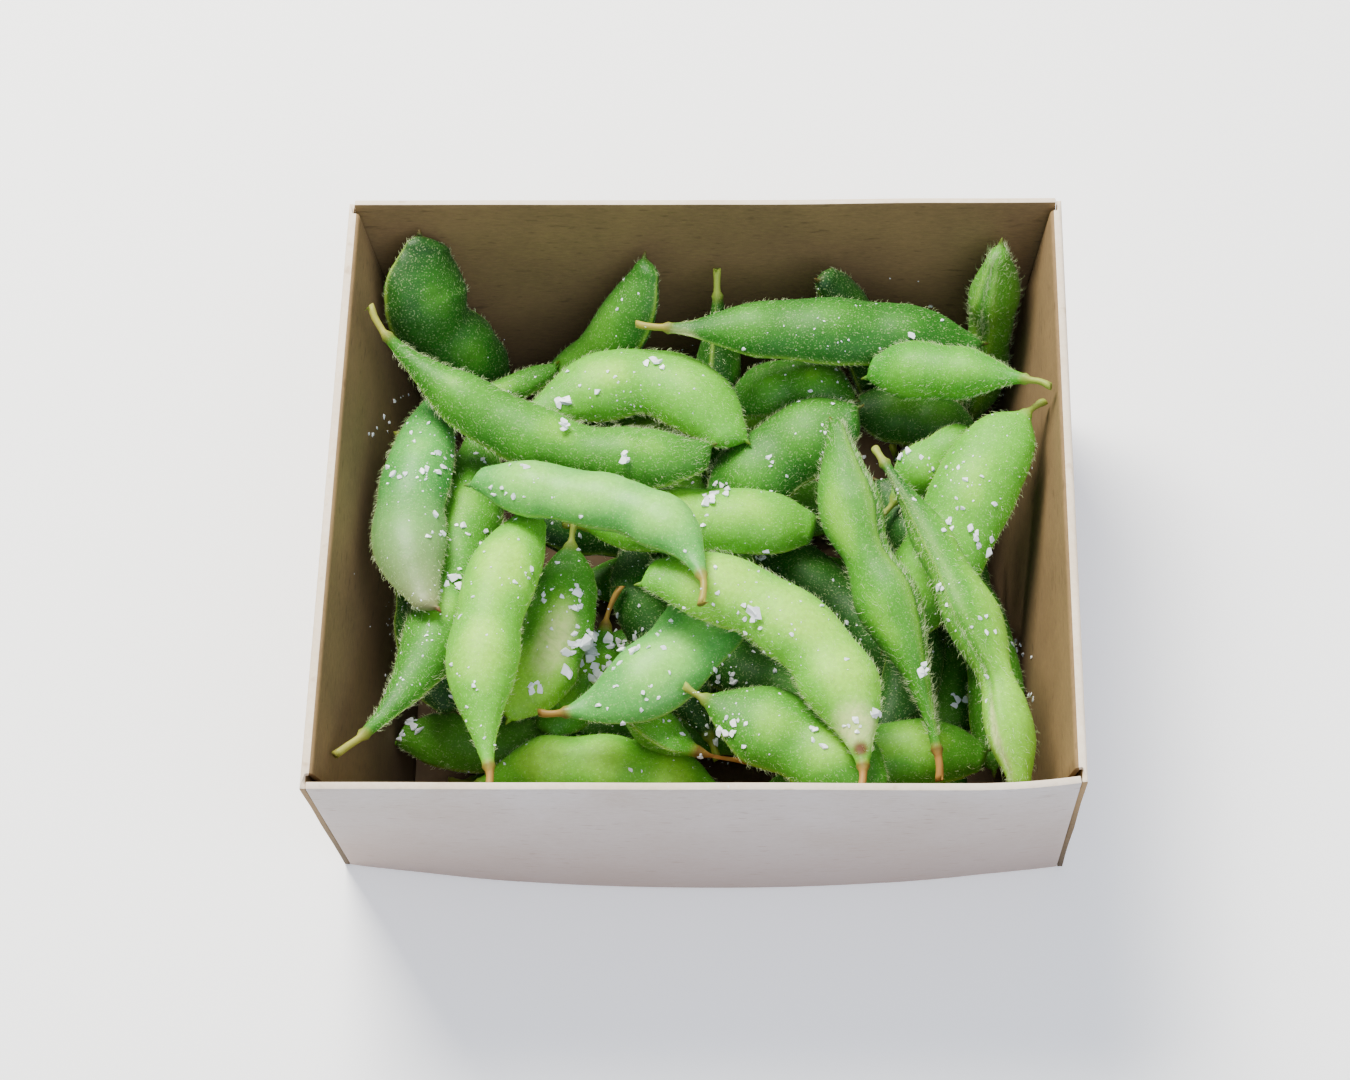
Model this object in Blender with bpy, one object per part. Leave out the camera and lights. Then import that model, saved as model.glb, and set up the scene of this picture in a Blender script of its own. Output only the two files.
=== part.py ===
# Edamame pods with coarse salt in a small folded board box.
# Lengths are in millimetres until a mesh is made; Blender gets metres.
# The box stands on z = 0, centred on x = y = 0, with its front towards -y.
from math import cos, pi, radians, sin
from typing import NamedTuple

import bmesh
import bpy
import numpy as np

MM = 0.001

# Box
RIM_HALF_WIDTH = 65.0
RIM_HALF_DEPTH = 60.5
BOX_HEIGHT = 53.0
BASE_HALF_DEPTH = 48.4
BASE_TOP = 1.0
FRONT_BOARD = 1.3
SIDE_BOARD = 0.9
SIDE_INSET = 0.7
FRONT_BOW = 4.8
BACK_BOW = 3.0
LEDGE_INNER = 63.0
INNER_SIDE_FOOT = 52.5
CORNER_SLOT = 1.5
EAR_REACH = 1.6
EAR_START = 46.0
PANEL_STEPS = 12
LAP = 0.05

# Room for the pods, half sizes at the base and at the rim
ROOM_X = (52.5, 63.0)
ROOM_Y = (47.2, 59.2)
WALL_GAP = 0.45

# Pods
POD_GAP = 0.35
STALK_RADIUS = 1.0
STALK_END_FLARE = 0.35
STALK_FADE = 6.0
NOSE_ROUNDNESS = 0.55
FLAT_WAIST = 0.30
EDGE_SHARPNESS = 1.12
BEAN_PLACES = {1: (0.55,), 2: (0.36, 0.70), 3: (0.26, 0.52, 0.77)}
BEAN_REACH = {1: 0.22, 2: 0.16, 3: 0.12}
RINGS = {
    1: (0, 0.09, 0.20, 0.32, 0.44, 0.56, 0.68, 0.79, 0.89, 0.96),
    2: (0, 0.08, 0.18, 0.28, 0.40, 0.53, 0.64, 0.76, 0.87, 0.95),
    3: (0, 0.07, 0.16, 0.26, 0.39, 0.52, 0.65, 0.77, 0.88, 0.96),
}
BURIED_RINGS = (0, 0.14, 0.34, 0.53, 0.72, 0.90)
SHOWN_SIDES = 8
BURIED_SIDES = 6

# Settling
CELL = 0.5
FIELD_X, FIELD_Y = 272, 256
LINE_STEPS = 17
LINE_SIDES = 16
FINE_STEPS = 120
FINE_SIDES = 40
SLOPES = np.arange(-18, 18.1, 1)
SAGS = np.arange(-3, 3.1, 1)
SLOPE_COST = 0.35
SAG_COST = 0.10
WALL_TRIES = 4

# Salt
SEED = 11
FLAKE_SIDES = 7
FLAKE_GAP = 0.35


class Pod(NamedTuple):
    """One pod from above: stem end, beaked tip, sideways bend, size, and how it lies."""
    stem: tuple
    tip: tuple
    bow: float = 0.0
    sway: float = 0.0
    width: float = 12.5
    thick: float = 9.0
    beans: int = 2
    roll: float = 0.0
    lean: float = 0.0
    stands: bool = False
    stalk: float = 4.0
    skin: str = "mid_green"
    shown: bool = True
    neck: float = 0.30
    nose: float = 0.22
    waist: float = 0.13


# Pods in the order in which they lie, lowest first
PODS = [
    Pod((-46, -34), (-2, -40), 2, 0, 14, 7.5, shown=False),
    Pod((4, -40), (48, -34), -2, 0, 14, 7.5, shown=False),
    Pod((43, -24), (42, 34), 1, 0, 15, 7.5, shown=False),
    Pod((-43, 28), (-42, -24), 1, 0, 15, 9, shown=False),
    Pod((-34, 39.5), (24, 40), 0, 0, 14, 7.5, shown=False),
    Pod((-30, 24), (30, 24), 0, 0, 14, 7.5, shown=False),
    Pod((-30, 8), (30, 8), 0, 0, 14.5, 7.5, shown=False),
    Pod((-30, -8), (30, -8), 0, 0, 14.5, 7.5, shown=False),
    Pod((-30, -24), (30, -23.5), 0, 0, 14, 7.5, shown=False),
    Pod((-46, 20), (-32, -26), 3, shown=False),
    Pod((-44, -22), (-46, 26), -2, shown=False),
    Pod((34, 34), (47, -12), 3, 0, 11, 7.5, shown=False),
    # Fillers seen between the upper pods
    Pod((-9.5, -34), (-54.5, -29), 1, 0, 11.5, 9, lean=3, skin="deep_green"),
    Pod((-48, 4.5), (-43.5, -32), -4, 0.5, 9.5, 7, beans=3, roll=20, lean=-2, skin="deep_green"),
    Pod((6, 22), (39, -20.5), -0.5, -1.5, 11.5, 8.5, skin="deep_green"),
    Pod((-12, -1), (37, -35), -2.5, -0.5, 11, 8, beans=3, skin="deep_green"),
    Pod((3.5, -35), (-13, 5), 2.5, -0.5, 10.5, 8, lean=6, skin="deep_green"),
    Pod((-17, -6.5), (-27.5, -33.5), 2.5, 0.5, 10, 7.5, lean=-6, stalk=6),
    Pod((51, 8.5), (35, -43), 3, -0.5, 11, 8, skin="deep_green"),
    Pod((35.5, 19.5), (31.5, -37), 4.5, -1.5, 10, 7, skin="deep_green"),
    Pod((45, 5.5), (50, -41), 3, -1, 9.5, 6),
    Pod((-38, 6), (-6, 15), 2, 0, 12, 8, skin="deep_green"),
    # Standing along the back wall
    Pod((45.5, 40), (53.5, 52), -3, -0.5, 11, 8.5, roll=80, lean=47, stands=True, skin="deep_green"),
    Pod((2, 53.5), (0.5, 25.5), 1, 0, 11, 8, roll=80, lean=-31, stands=True, stalk=5, skin="deep_green"),
    Pod((-37, 37.5), (-10, 53), -2.5, 1.5, 12, 9, lean=40, stands=True, skin="deep_green"),
    Pod((-35, 41.5), (-50.5, 56.5), 6.5, -2, 17.5, 10, lean=32, stands=True,
        skin="deep_green", waist=0.25),
    Pod((37.5, 40.5), (21.5, 50), -1.5, 0, 11, 8, lean=42, stands=True, skin="deep_green"),
    # Middle layer
    Pod((54.5, 27), (27.5, 35), -2, 0, 12, 8.5, lean=2, skin="deep_green"),
    Pod((52.5, -31), (32.5, 13), -1, -0.5, 9.5, 6, lean=2, skin="deep_green"),
    Pod((32, 2), (50.5, 18), 1, 0.5, 10.5, 7, roll=-30, lean=2, skin="yellow_green"),
    Pod((0, 29), (26.5, 30), 5.5, -1, 10.5, 7, lean=5),
    Pod((-2.5, 5), (28.5, 24), 3, -0.5, 15.5, 9, lean=11),
    Pod((7, -48), (50, -41), 1.5, -1, 12.5, 9, lean=2),
    Pod((60.5, 20.5), (31, -21.5), 1, -1.5, 15, 9, lean=-13, neck=0.16, skin="yellow_green"),
    Pod((-36, 22.5), (6, 18.5), 12, -1.5, 14.5, 9, nose=0.2, skin="yellow_green", waist=0.16),
    Pod((-12.5, 40.5), (50.5, 37), 0, -0.5, 14, 9, beans=3, lean=-3, stalk=6, neck=0.5),
    Pod((62, 20), (30, 29.5), -0.5, 0, 10.5, 7.5, 2, 20, -10, True, 5, "yellow_green", neck=0.45),
    Pod((-57, 25), (-28, 42), -1, -0.5, 6, 4.5, beans=1, lean=-2, stands=True),
    # Upper layer
    Pod((-60, -51), (-41, 25.5), -7, -1.5, 12.5, 9, lean=-17, stalk=6, neck=0.42, waist=0.18),
    Pod((-48, 32.5), (-46, -22.5), -4, 1, 13.5, 9, lean=9, neck=0.2, nose=0.42,
        skin="blue_green", waist=0.2),
    Pod((-25, 3), (20.5, 3), 0, 0, 13, 9, neck=0.2, nose=0.18, skin="yellow_green"),
    Pod((-61, 37), (2, 12.5), -9, 0.5, 12.5, 9.5, beans=3, lean=-12, stalk=6,
        neck=0.4, nose=0.14, waist=0.18),
    Pod((-42.5, -44.5), (3.5, -45.5), 4, 0, 13, 9.5, beans=3, lean=-1, skin="yellow_green", waist=0.18),
    Pod((-23, 2.5), (-34.5, -33.5), 3.5, -0.5, 12.5, 7.5, lean=1, neck=0.2),
    Pod((12, -41.5), (-12, -30), 5, 0, 9.5, 7, beans=1, roll=-40, lean=2, stalk=12, skin="yellow_green"),
    Pod((-27.5, -37), (8, -5.5), -8, -1, 14.5, 8, lean=-1, skin="blue_green"),
    Pod((-2.5, -35), (30.5, -54), 2.5, -0.5, 15, 9, lean=-2),
    Pod((-33.5, -56.5), (-29, 1), 5, 0, 12.5, 9, lean=-5, skin="yellow_green", neck=0.42, waist=0.2),
    Pod((28.5, -56.5), (-9.5, -15.5), -12.5, 0, 13.5, 8.5, beans=3, lean=2, nose=0.16,
        skin="yellow_green", waist=0.17),
    Pod((2.5, -25.5), (-40, 4.5), -8.5, -2, 11, 8, beans=3, lean=-8, stalk=5, nose=0.2,
        skin="blue_green", waist=0.16),
    Pod((42, -49.5), (24, 16), 1.5, -1.5, 10.5, 8.5, roll=40, lean=12, stalk=5,
        neck=0.45, nose=0.3, waist=0.22),
    Pod((30.5, 8.5), (54.5, -57), 3.5, -0.5, 11, 8.5, beans=3, roll=50, lean=-5,
        neck=0.35, nose=0.18, waist=0.34),
]

# Largest flakes of salt: place seen from above, reach and thickness
FLAKES = [
    ((-20.6, -20.4), 2.3, 1.0),
    ((9.7, -25.2), 2.1, 0.9),
    ((-13.2, 8.5), 1.7, 0.8),
    ((-23.9, 14.8), 1.7, 0.8),
    ((38.6, -32.9), 1.7, 0.8),
    ((-42.5, -13.3), 1.7, 0.8),
]

# Surface colours, roughness
FINISHES = {
    "kraft_board": ((0.54, 0.42, 0.28), 0.85),
    "deep_green": ((0.07, 0.19, 0.06), 0.60),
    "mid_green": ((0.18, 0.38, 0.10), 0.60),
    "yellow_green": ((0.34, 0.54, 0.16), 0.60),
    "blue_green": ((0.20, 0.44, 0.20), 0.55),
    "salt": ((0.88, 0.89, 0.88), 0.35),
}


def build_all():
    clear_scene()
    finishes = make_finishes()
    build_box(finishes["kraft_board"])
    field = np.full((FIELD_X, FIELD_Y), BASE_TOP)
    for number, pod in enumerate(PODS, start=1):
        settled, rest = settle(pod, field)
        build_pod(f"pod_{number:02d}", settled, rest, finishes[pod.skin])
    rng = np.random.default_rng(SEED)
    for number, flake in enumerate(FLAKES, start=1):
        build_flake(f"salt_flake_{number}", flake, field, rng, finishes["salt"])


def clear_scene():
    for item in list(bpy.data.objects):
        bpy.data.objects.remove(item, do_unlink=True)


def make_finishes():
    made = {}
    for name, (colour, roughness) in FINISHES.items():
        finish = bpy.data.materials.new(name)
        finish.use_nodes = True
        shader = finish.node_tree.nodes["Principled BSDF"]
        shader.inputs["Base Color"].default_value = (*colour, 1.0)
        shader.inputs["Roughness"].default_value = roughness
        shader.inputs["Metallic"].default_value = 0.0
        finish.diffuse_color = (*colour, 1.0)
        made[name] = finish
    return made


def make_object(name, points, faces, finish, smooth):
    """Closed body with outward faces from points in millimetres."""
    body = bmesh.new()
    corners = [body.verts.new((x * MM, y * MM, z * MM)) for x, y, z in points]
    for face in faces:
        body.faces.new([corners[k] for k in face])
    bmesh.ops.recalc_face_normals(body, faces=body.faces)
    mesh = bpy.data.meshes.new(name)
    body.to_mesh(mesh)
    body.free()
    mesh.materials.append(finish)
    mesh.shade_smooth() if smooth else mesh.shade_flat()
    item = bpy.data.objects.new(name, mesh)
    bpy.context.collection.objects.link(item)
    return item


# Box of one folded blank: flared front and back, hollow side walls with a ledge on top

def front_face(x, z):
    """Outer y of the front panel; its foot bows outwards and its right top corner is set back."""
    up = z / BOX_HEIGHT
    foot = BASE_HALF_DEPTH + FRONT_BOW * (1 - (x / RIM_HALF_WIDTH) ** 2)
    set_back = EAR_REACH * max(0.0, (x - EAR_START) / (RIM_HALF_WIDTH - EAR_START)) ** 2
    return -(foot + (RIM_HALF_DEPTH - set_back - foot) * up)


def back_face(x, z):
    """Outer y of the back panel."""
    up = z / BOX_HEIGHT
    foot = BASE_HALF_DEPTH + BACK_BOW * (1 - (x / RIM_HALF_WIDTH) ** 2)
    return foot + (RIM_HALF_DEPTH - foot) * up


def outer_side(z):
    return RIM_HALF_WIDTH - SIDE_INSET * (1 - z / BOX_HEIGHT)


def inner_side(z):
    up = (z - BASE_TOP) / (BOX_HEIGHT - BASE_TOP)
    return INNER_SIDE_FOOT + (LEDGE_INNER - INNER_SIDE_FOOT) * up


def panel(name, outer, inner, finish):
    """Sheet of board between two equal grids of points, rows by columns."""
    rows, columns = len(outer), len(outer[0])
    points = [p for grid in (outer, inner) for row in grid for p in row]
    shift = rows * columns
    faces = []
    for r in range(rows - 1):
        for c in range(columns - 1):
            a, b = r * columns + c, (r + 1) * columns + c
            faces.append((a, a + 1, b + 1, b))
            faces.append((a + shift, b + shift, b + 1 + shift, a + 1 + shift))
    for c in range(columns - 1):
        for a in (c, (rows - 1) * columns + c):
            faces.append((a, a + 1, a + 1 + shift, a + shift))
    for r in range(rows - 1):
        for a in (r * columns, r * columns + columns - 1):
            faces.append((a, a + columns, a + columns + shift, a + shift))
    return make_object(name, points, faces, finish, smooth=False)


def long_panel(name, face, inward, finish):
    """Front or back panel; inward is the step of y from outside to inside."""
    outer, inner = [], []
    for z in (LAP, BOX_HEIGHT):
        half = outer_side(z) - 3 * LAP
        xs = np.linspace(-half, half, PANEL_STEPS + 1)
        outer.append([(x, face(x, z), z) for x in xs])
        inner.append([(x, face(x, z) + inward, z) for x in xs])
    return panel(name, outer, inner, finish)


def side_panel(name, side, reach, thickness, slot, levels, finish):
    """Upright panel at one side, ending against or short of the front and back panels."""
    outer, inner = [], []
    for z in levels:
        x = reach(z)
        near = front_face(side * x, z) + slot
        far = back_face(side * x, z) - slot
        ys = np.linspace(near, far, 3)
        outer.append([(side * x, y, z) for y in ys])
        inner.append([(side * (x + thickness), y, z) for y in ys])
    return panel(name, outer, inner, finish)


def ledge(name, side, finish):
    slot = FRONT_BOARD + CORNER_SLOT
    low, high = BOX_HEIGHT - SIDE_BOARD, BOX_HEIGHT - LAP
    rows = []
    for z in (low, high):
        row = []
        for x in (LEDGE_INNER - 5 * LAP, RIM_HALF_WIDTH - 8 * LAP):
            near, far = front_face(side * x, z) + slot, back_face(side * x, z) - slot
            row.append([(side * x, near, z), (side * x, far, z)])
        rows.append(row)
    outer = [rows[0][0], rows[0][1]]
    inner = [rows[1][0], rows[1][1]]
    return panel(name, outer, inner, finish)


def base_plate(name, finish):
    half = outer_side(0) - 5 * LAP
    xs = np.linspace(-half, half, PANEL_STEPS + 1)
    front = [(x, front_face(x, 0) + 0.3) for x in xs]
    back = [(x, back_face(x, 0) - 0.3) for x in xs]
    outer = [[(x, y, 0.0) for x, y in front], [(x, y, 0.0) for x, y in back]]
    inner = [[(x, y, BASE_TOP) for x, y in front], [(x, y, BASE_TOP) for x, y in back]]
    return panel(name, outer, inner, finish)


def join(target, others):
    """Weld the folded panels into one body."""
    for other in others:
        step = target.modifiers.new("weld", "BOOLEAN")
        step.operation = "UNION"
        step.solver = "EXACT"
        step.object = other
        bpy.context.view_layer.objects.active = target
        bpy.ops.object.modifier_apply(modifier=step.name)
        bpy.data.objects.remove(other, do_unlink=True)
    return target


def build_box(finish):
    parts = [long_panel("front_panel", front_face, FRONT_BOARD, finish)]
    parts.append(long_panel("back_panel", back_face, -FRONT_BOARD, finish))
    upright = (0.0, BOX_HEIGHT - LAP / 2)
    sloped = (BASE_TOP / 2, BOX_HEIGHT - SIDE_BOARD / 2)
    slot = FRONT_BOARD + CORNER_SLOT + LAP
    for side in (-1, 1):
        parts.append(side_panel("side_panel", side, outer_side, -SIDE_BOARD, 3 * LAP, upright, finish))
        parts.append(side_panel("lining", side, inner_side, SIDE_BOARD, slot, sloped, finish))
        parts.append(ledge("ledge", side, finish))
    box = join(base_plate("paper_box", finish), parts)
    tidy_flat(box)
    return box


def tidy_flat(item):
    """Drop the needless edges that welding leaves in flat faces."""
    body = bmesh.new()
    body.from_mesh(item.data)
    bmesh.ops.dissolve_limit(body, angle_limit=radians(0.05), verts=body.verts, edges=body.edges)
    bmesh.ops.triangulate(body, faces=body.faces)
    body.to_mesh(item.data)
    body.free()


# Pods: a stalk, a shell that swells over each bean, and a beaked tip

def bean_swell(v, beans):
    """How far the beans push the shell out at v, from 0 to 1."""
    total = sum(np.exp(-((v - place) / BEAN_REACH[beans]) ** 2) for place in BEAN_PLACES[beans])
    return np.clip(total, 0, 1)


def half_sizes(pod, t, length):
    """Half width and half thickness of the pod at t, from 0 at the stalk's end to 1 at the tip."""
    start = pod.stalk / length
    v = np.clip((t - start) / (1 - start), 0, 1)
    rising = np.clip(v / pod.neck, 0, 1)
    falling = np.clip((1 - v) / pod.nose, 0, 1)
    shape = rising * (2 - rising) * (falling * (2 - falling)) ** NOSE_ROUNDNESS
    swell = bean_swell(v, pod.beans)
    across = 0.5 * pod.width * shape * (1 - pod.waist + pod.waist * swell)
    through = 0.5 * pod.thick * shape ** 0.85 * (1 - FLAT_WAIST + FLAT_WAIST * swell)
    flare = 1 + STALK_END_FLARE * np.clip(1 - t * length / pod.stalk, 0, 1)
    stalk = STALK_RADIUS * flare * (1 - np.clip((t - start) * length / STALK_FADE, 0, 1))
    return np.maximum(across, stalk), np.maximum(through, 0.95 * stalk)


def mid_line(pod, t, rest=(0.0, 0.0, 0.0)):
    """Middle of the pod at t; rest is its height, its slope and its arch."""
    stem, tip = np.array(pod.stem, float), np.array(pod.tip, float)
    along = tip - stem
    side = np.array([-along[1], along[0]]) / np.hypot(*along)
    off = pod.bow * 4 * t * (1 - t) + pod.sway * np.sin(2 * pi * t)
    plan = stem + t[:, None] * along + off[:, None] * side
    height, slope, arch = rest
    z = height + slope * (t - 0.5) + arch * 4 * t * (1 - t)
    if pod.stands:
        z = z + pod.lean * t
    return np.column_stack([plan, z])


def arc_length(pod):
    line = mid_line(pod, np.linspace(0, 1, 60))
    return np.linalg.norm(np.diff(line, axis=0), axis=1).sum()


def sections(pod, t, rest, sides):
    """Closed rings of points around the pod at each t."""
    line = mid_line(pod, t, rest)
    ahead = mid_line(pod, t + 0.01, rest) - mid_line(pod, t - 0.01, rest)
    ahead /= np.linalg.norm(ahead, axis=1)[:, None]
    chord = np.array([*np.subtract(pod.tip, pod.stem), 0.0])
    across = np.cross(chord if pod.stands else ahead, [0, 0, 1.0])
    across = across - ahead * (across * ahead).sum(axis=1)[:, None]
    across /= np.linalg.norm(across, axis=1)[:, None]
    upward = np.cross(across, ahead)
    turn = radians(pod.roll)
    wide = across * cos(turn) + upward * sin(turn)
    thin = upward * cos(turn) - across * sin(turn)
    half_wide, half_thin = half_sizes(pod, t, arc_length(pod))
    angle = np.arange(sides) * 2 * pi / sides
    x = np.cos(angle)
    y = np.sign(np.sin(angle)) * np.abs(np.sin(angle)) ** EDGE_SHARPNESS
    rings = line[:, None, :] + wide[:, None, :] * (half_wide[:, None] * x)[..., None]
    return rings + thin[:, None, :] * (half_thin[:, None] * y)[..., None]


def build_pod(name, pod, rest, finish):
    """Rings of points closed at the cut stalk and at the tip."""
    start = pod.stalk / arc_length(pod)
    places = RINGS[pod.beans] if pod.shown else BURIED_RINGS
    sides = SHOWN_SIDES if pod.shown else BURIED_SIDES
    t = np.array([0.0] + [start + v * (1 - start) for v in places])
    rings = sections(pod, t, rest, sides)
    ends = mid_line(pod, np.array([0.0, 1.0]), rest)
    points = [tuple(p) for ring in rings for p in ring] + [tuple(p) for p in ends]
    count = len(t)
    cut, beak = count * sides, count * sides + 1
    faces = []
    for k in range(sides):
        after = (k + 1) % sides
        faces.append((cut, after, k))
        last = (count - 1) * sides
        faces.append((beak, last + k, last + after))
        for r in range(count - 1):
            a, b = r * sides, (r + 1) * sides
            faces.append((a + k, a + after, b + after, b + k))
    return make_object(name, points, faces, finish, smooth=True)


# Settling: each pod sinks until it touches what lies below, tilting and arching a little

def cells(x, y):
    i = np.clip((x / CELL + FIELD_X / 2).astype(int), 0, FIELD_X - 1)
    j = np.clip((y / CELL + FIELD_Y / 2).astype(int), 0, FIELD_Y - 1)
    return i, j


def widened(field):
    """Each cell takes the highest value among itself and its neighbours."""
    padded = np.pad(field, 1, mode="edge")
    rows, columns = field.shape
    shifts = [(a, b) for a in range(3) for b in range(3)]
    return np.max([padded[a:a + rows, b:b + columns] for a, b in shifts], axis=0)


def room_left(points):
    """Shift in x and y that brings the points off the walls."""
    z = points[..., 2]
    room_x = np.interp(z, [BASE_TOP, BOX_HEIGHT], ROOM_X) - WALL_GAP
    room_y = np.interp(z, [BASE_TOP, BOX_HEIGHT], ROOM_Y) - WALL_GAP
    x, y = points[..., 0], points[..., 1]
    shift_x = max(0, (-room_x - x).max()) - max(0, (x - room_x).max())
    shift_y = max(0, (-room_y - y).max()) - max(0, (y - room_y).max())
    return shift_x, shift_y


def rest_on(pod, ground):
    """Lowest height, slope and arch at which the pod clears the ground."""
    t = np.linspace(0, 1, LINE_STEPS)
    points = sections(pod, t, (0, 0, 0), LINE_SIDES)
    i, j = cells(points[..., 0], points[..., 1])
    needed = (ground[i, j] + POD_GAP - points[..., 2]).max(axis=1)
    wanted = 0 if pod.stands else pod.lean
    best = None
    for slope in ([0.0] if pod.stands else SLOPES):
        for arch in ([0.0] if pod.stands else SAGS):
            shape = slope * (t - 0.5) + arch * 4 * t * (1 - t)
            height = (needed - shape).max()
            cost = height + shape.mean() + SLOPE_COST * abs(slope - wanted) + SAG_COST * abs(arch)
            if best is None or cost < best[0]:
                best = (cost, height, slope, arch)
    rest = best[1:]
    points = sections(pod, np.linspace(0, 1, FINE_STEPS), rest, FINE_SIDES)
    i, j = cells(points[..., 0], points[..., 1])
    lift = (ground[i, j] + POD_GAP - points[..., 2]).max()
    return (rest[0] + lift, rest[1], rest[2])


def settle(pod, field):
    ground = widened(field)
    for _ in range(WALL_TRIES):
        rest = rest_on(pod, ground)
        points = sections(pod, np.linspace(0, 1, FINE_STEPS), rest, FINE_SIDES)
        shift = np.array(room_left(points))
        if np.abs(shift).max() < 0.02:
            break
        pod = pod._replace(stem=tuple(pod.stem + shift), tip=tuple(pod.tip + shift))
    i, j = cells(points[..., 0].ravel(), points[..., 1].ravel())
    np.maximum.at(field, (i, j), points[..., 2].ravel())
    return pod, rest


# Salt: flat broken flakes lying on the pods

def build_flake(name, flake, field, rng, finish):
    """Uneven flat plate laid on the slope beneath it."""
    (x, y), reach, thickness = flake
    i, j = cells(np.array([x - reach, x, x + reach]), np.array([y - reach, y, y + reach]))
    ground = widened(field)
    slope_x = np.clip((ground[i[2], j[1]] - ground[i[0], j[1]]) / (2 * reach), -0.6, 0.6)
    slope_y = np.clip((ground[i[1], j[2]] - ground[i[1], j[0]]) / (2 * reach), -0.6, 0.6)
    turn = rng.uniform(0, 2 * pi)
    low, high = [], []
    for k in range(FLAKE_SIDES):
        angle = turn + 2 * pi * k / FLAKE_SIDES
        r = reach * rng.uniform(0.72, 1.0)
        a, b = r * cos(angle), r * sin(angle)
        low.append((x + a, y + b, slope_x * a + slope_y * b))
        a, b = 0.8 * a, 0.8 * b
        high.append((x + a, y + b, slope_x * a + slope_y * b + thickness * rng.uniform(0.8, 1.0)))
    lift = lift_of_plate(low, ground, x, y)
    points = [(px, py, pz + lift) for px, py, pz in low + high]
    n = FLAKE_SIDES
    faces = [tuple(range(n)), tuple(range(2 * n - 1, n - 1, -1))]
    faces += [(k, (k + 1) % n, n + (k + 1) % n, n + k) for k in range(n)]
    return make_object(name, points, faces, finish, smooth=False)


def lift_of_plate(low, ground, x, y):
    """Height at which the plate's underside clears the ground everywhere."""
    lift = 0.0
    for px, py, pz in low:
        for part in np.linspace(0, 1, 9):
            qx, qy = x + (px - x) * part, y + (py - y) * part
            i, j = cells(np.array([qx]), np.array([qy]))
            lift = max(lift, ground[i[0], j[0]] + FLAKE_GAP - pz * part)
    return lift


build_all()
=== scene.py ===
# Looks of boiled edamame pods with coarse salt in a small folded board box.
# Everything is in metres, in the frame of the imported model; MM turns a size in millimetres to metres.
from math import cos, pi, radians, sin
from typing import NamedTuple

import bmesh
import bpy
import numpy as np
from mathutils import Matrix, Vector, noise
from mathutils.bvhtree import BVHTree


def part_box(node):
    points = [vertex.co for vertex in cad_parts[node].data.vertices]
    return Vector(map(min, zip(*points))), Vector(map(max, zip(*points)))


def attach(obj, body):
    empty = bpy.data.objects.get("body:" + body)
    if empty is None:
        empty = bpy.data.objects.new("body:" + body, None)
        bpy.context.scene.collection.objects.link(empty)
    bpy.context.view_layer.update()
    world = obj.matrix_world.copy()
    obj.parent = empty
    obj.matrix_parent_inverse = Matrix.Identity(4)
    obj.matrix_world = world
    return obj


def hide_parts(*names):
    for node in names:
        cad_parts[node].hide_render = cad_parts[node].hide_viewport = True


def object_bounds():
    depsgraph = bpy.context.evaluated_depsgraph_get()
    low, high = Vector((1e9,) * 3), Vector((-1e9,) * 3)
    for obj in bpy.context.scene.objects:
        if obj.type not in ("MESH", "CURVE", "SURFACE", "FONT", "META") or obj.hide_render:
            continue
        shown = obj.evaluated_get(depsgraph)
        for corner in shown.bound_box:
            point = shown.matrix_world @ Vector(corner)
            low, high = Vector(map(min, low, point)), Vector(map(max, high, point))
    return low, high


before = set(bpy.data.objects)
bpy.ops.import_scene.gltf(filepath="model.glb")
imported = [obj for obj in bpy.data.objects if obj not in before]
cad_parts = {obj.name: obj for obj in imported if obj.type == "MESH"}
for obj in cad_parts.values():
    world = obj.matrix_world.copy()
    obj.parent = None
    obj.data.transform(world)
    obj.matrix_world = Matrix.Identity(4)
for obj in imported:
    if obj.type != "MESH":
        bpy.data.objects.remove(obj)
CAD_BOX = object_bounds()

MM = 0.001
SEED = 7
SKIN_TOP = CAD_BOX[1].z - 0.05 * MM
TRIM_TOP = CAD_BOX[1].z - 0.02 * MM

# Camera of the photograph: angles in degrees, lens and sensor in millimetres
CAMERA_DOWN = 58.57
CAMERA_YAW = -4.48
CAMERA_ROLL = -3.87
CAMERA_LENS = 92.83
CAMERA_SENSOR = 36.0
CAMERA_PLACE = (20.56 * MM, -322.94 * MM, 562.73 * MM)
PHOTO_WIDTH, PHOTO_HEIGHT = 1350, 1080

# Box of folded board
RIM_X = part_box("paper_box")[1].x
RIM_Y = -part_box("paper_box")[0].y - 0.01 * MM
WALL_HEIGHT = 53.0 * MM
BASE_TOP = 1.0 * MM
BASE_HALF_DEPTH = 48.4 * MM
FRONT_BOARD = 1.3 * MM
SIDE_BOARD = 0.9 * MM
SIDE_INSET = 0.7 * MM
FRONT_BOW = 4.8 * MM
BACK_BOW = 3.0 * MM
LEDGE_WIDTH = 2.0 * MM
LEDGE_X = RIM_X - LEDGE_WIDTH
LEDGE_CROWDING = 0.12  # how much closer the rows of the grid lie at the ledge
INNER_SIDE_FOOT = 52.5 * MM
CORNER_GAP = 0.15 * MM
CORNER_SLOT = 1.5 * MM
EAR_REACH = 1.6 * MM
EAR_START = 46.0 * MM
FOLD_RADIUS = 1.0 * MM
SIDE_FOLD_RADIUS = 0.8 * MM
SIDE_FEET = (0.05 * MM, BASE_TOP + 0.1 * MM)  # heights of the feet of a side's outer wall and lining
CUT_EDGE_SOFTNESS = 0.22 * MM
CREAM_BAND = 1.4 * MM  # breadth of the pale cut edge along the ledge
BOARD_WAVE_LENGTH = 26 * MM
RIM_WAVE = 0.35 * MM
BACK_WAVE_SHIFT = 90 * MM
SIDE_DENT = 0.7 * MM
DENT_FADE = 12 * MM
TRAY_GRID = (70, 150)
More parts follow.
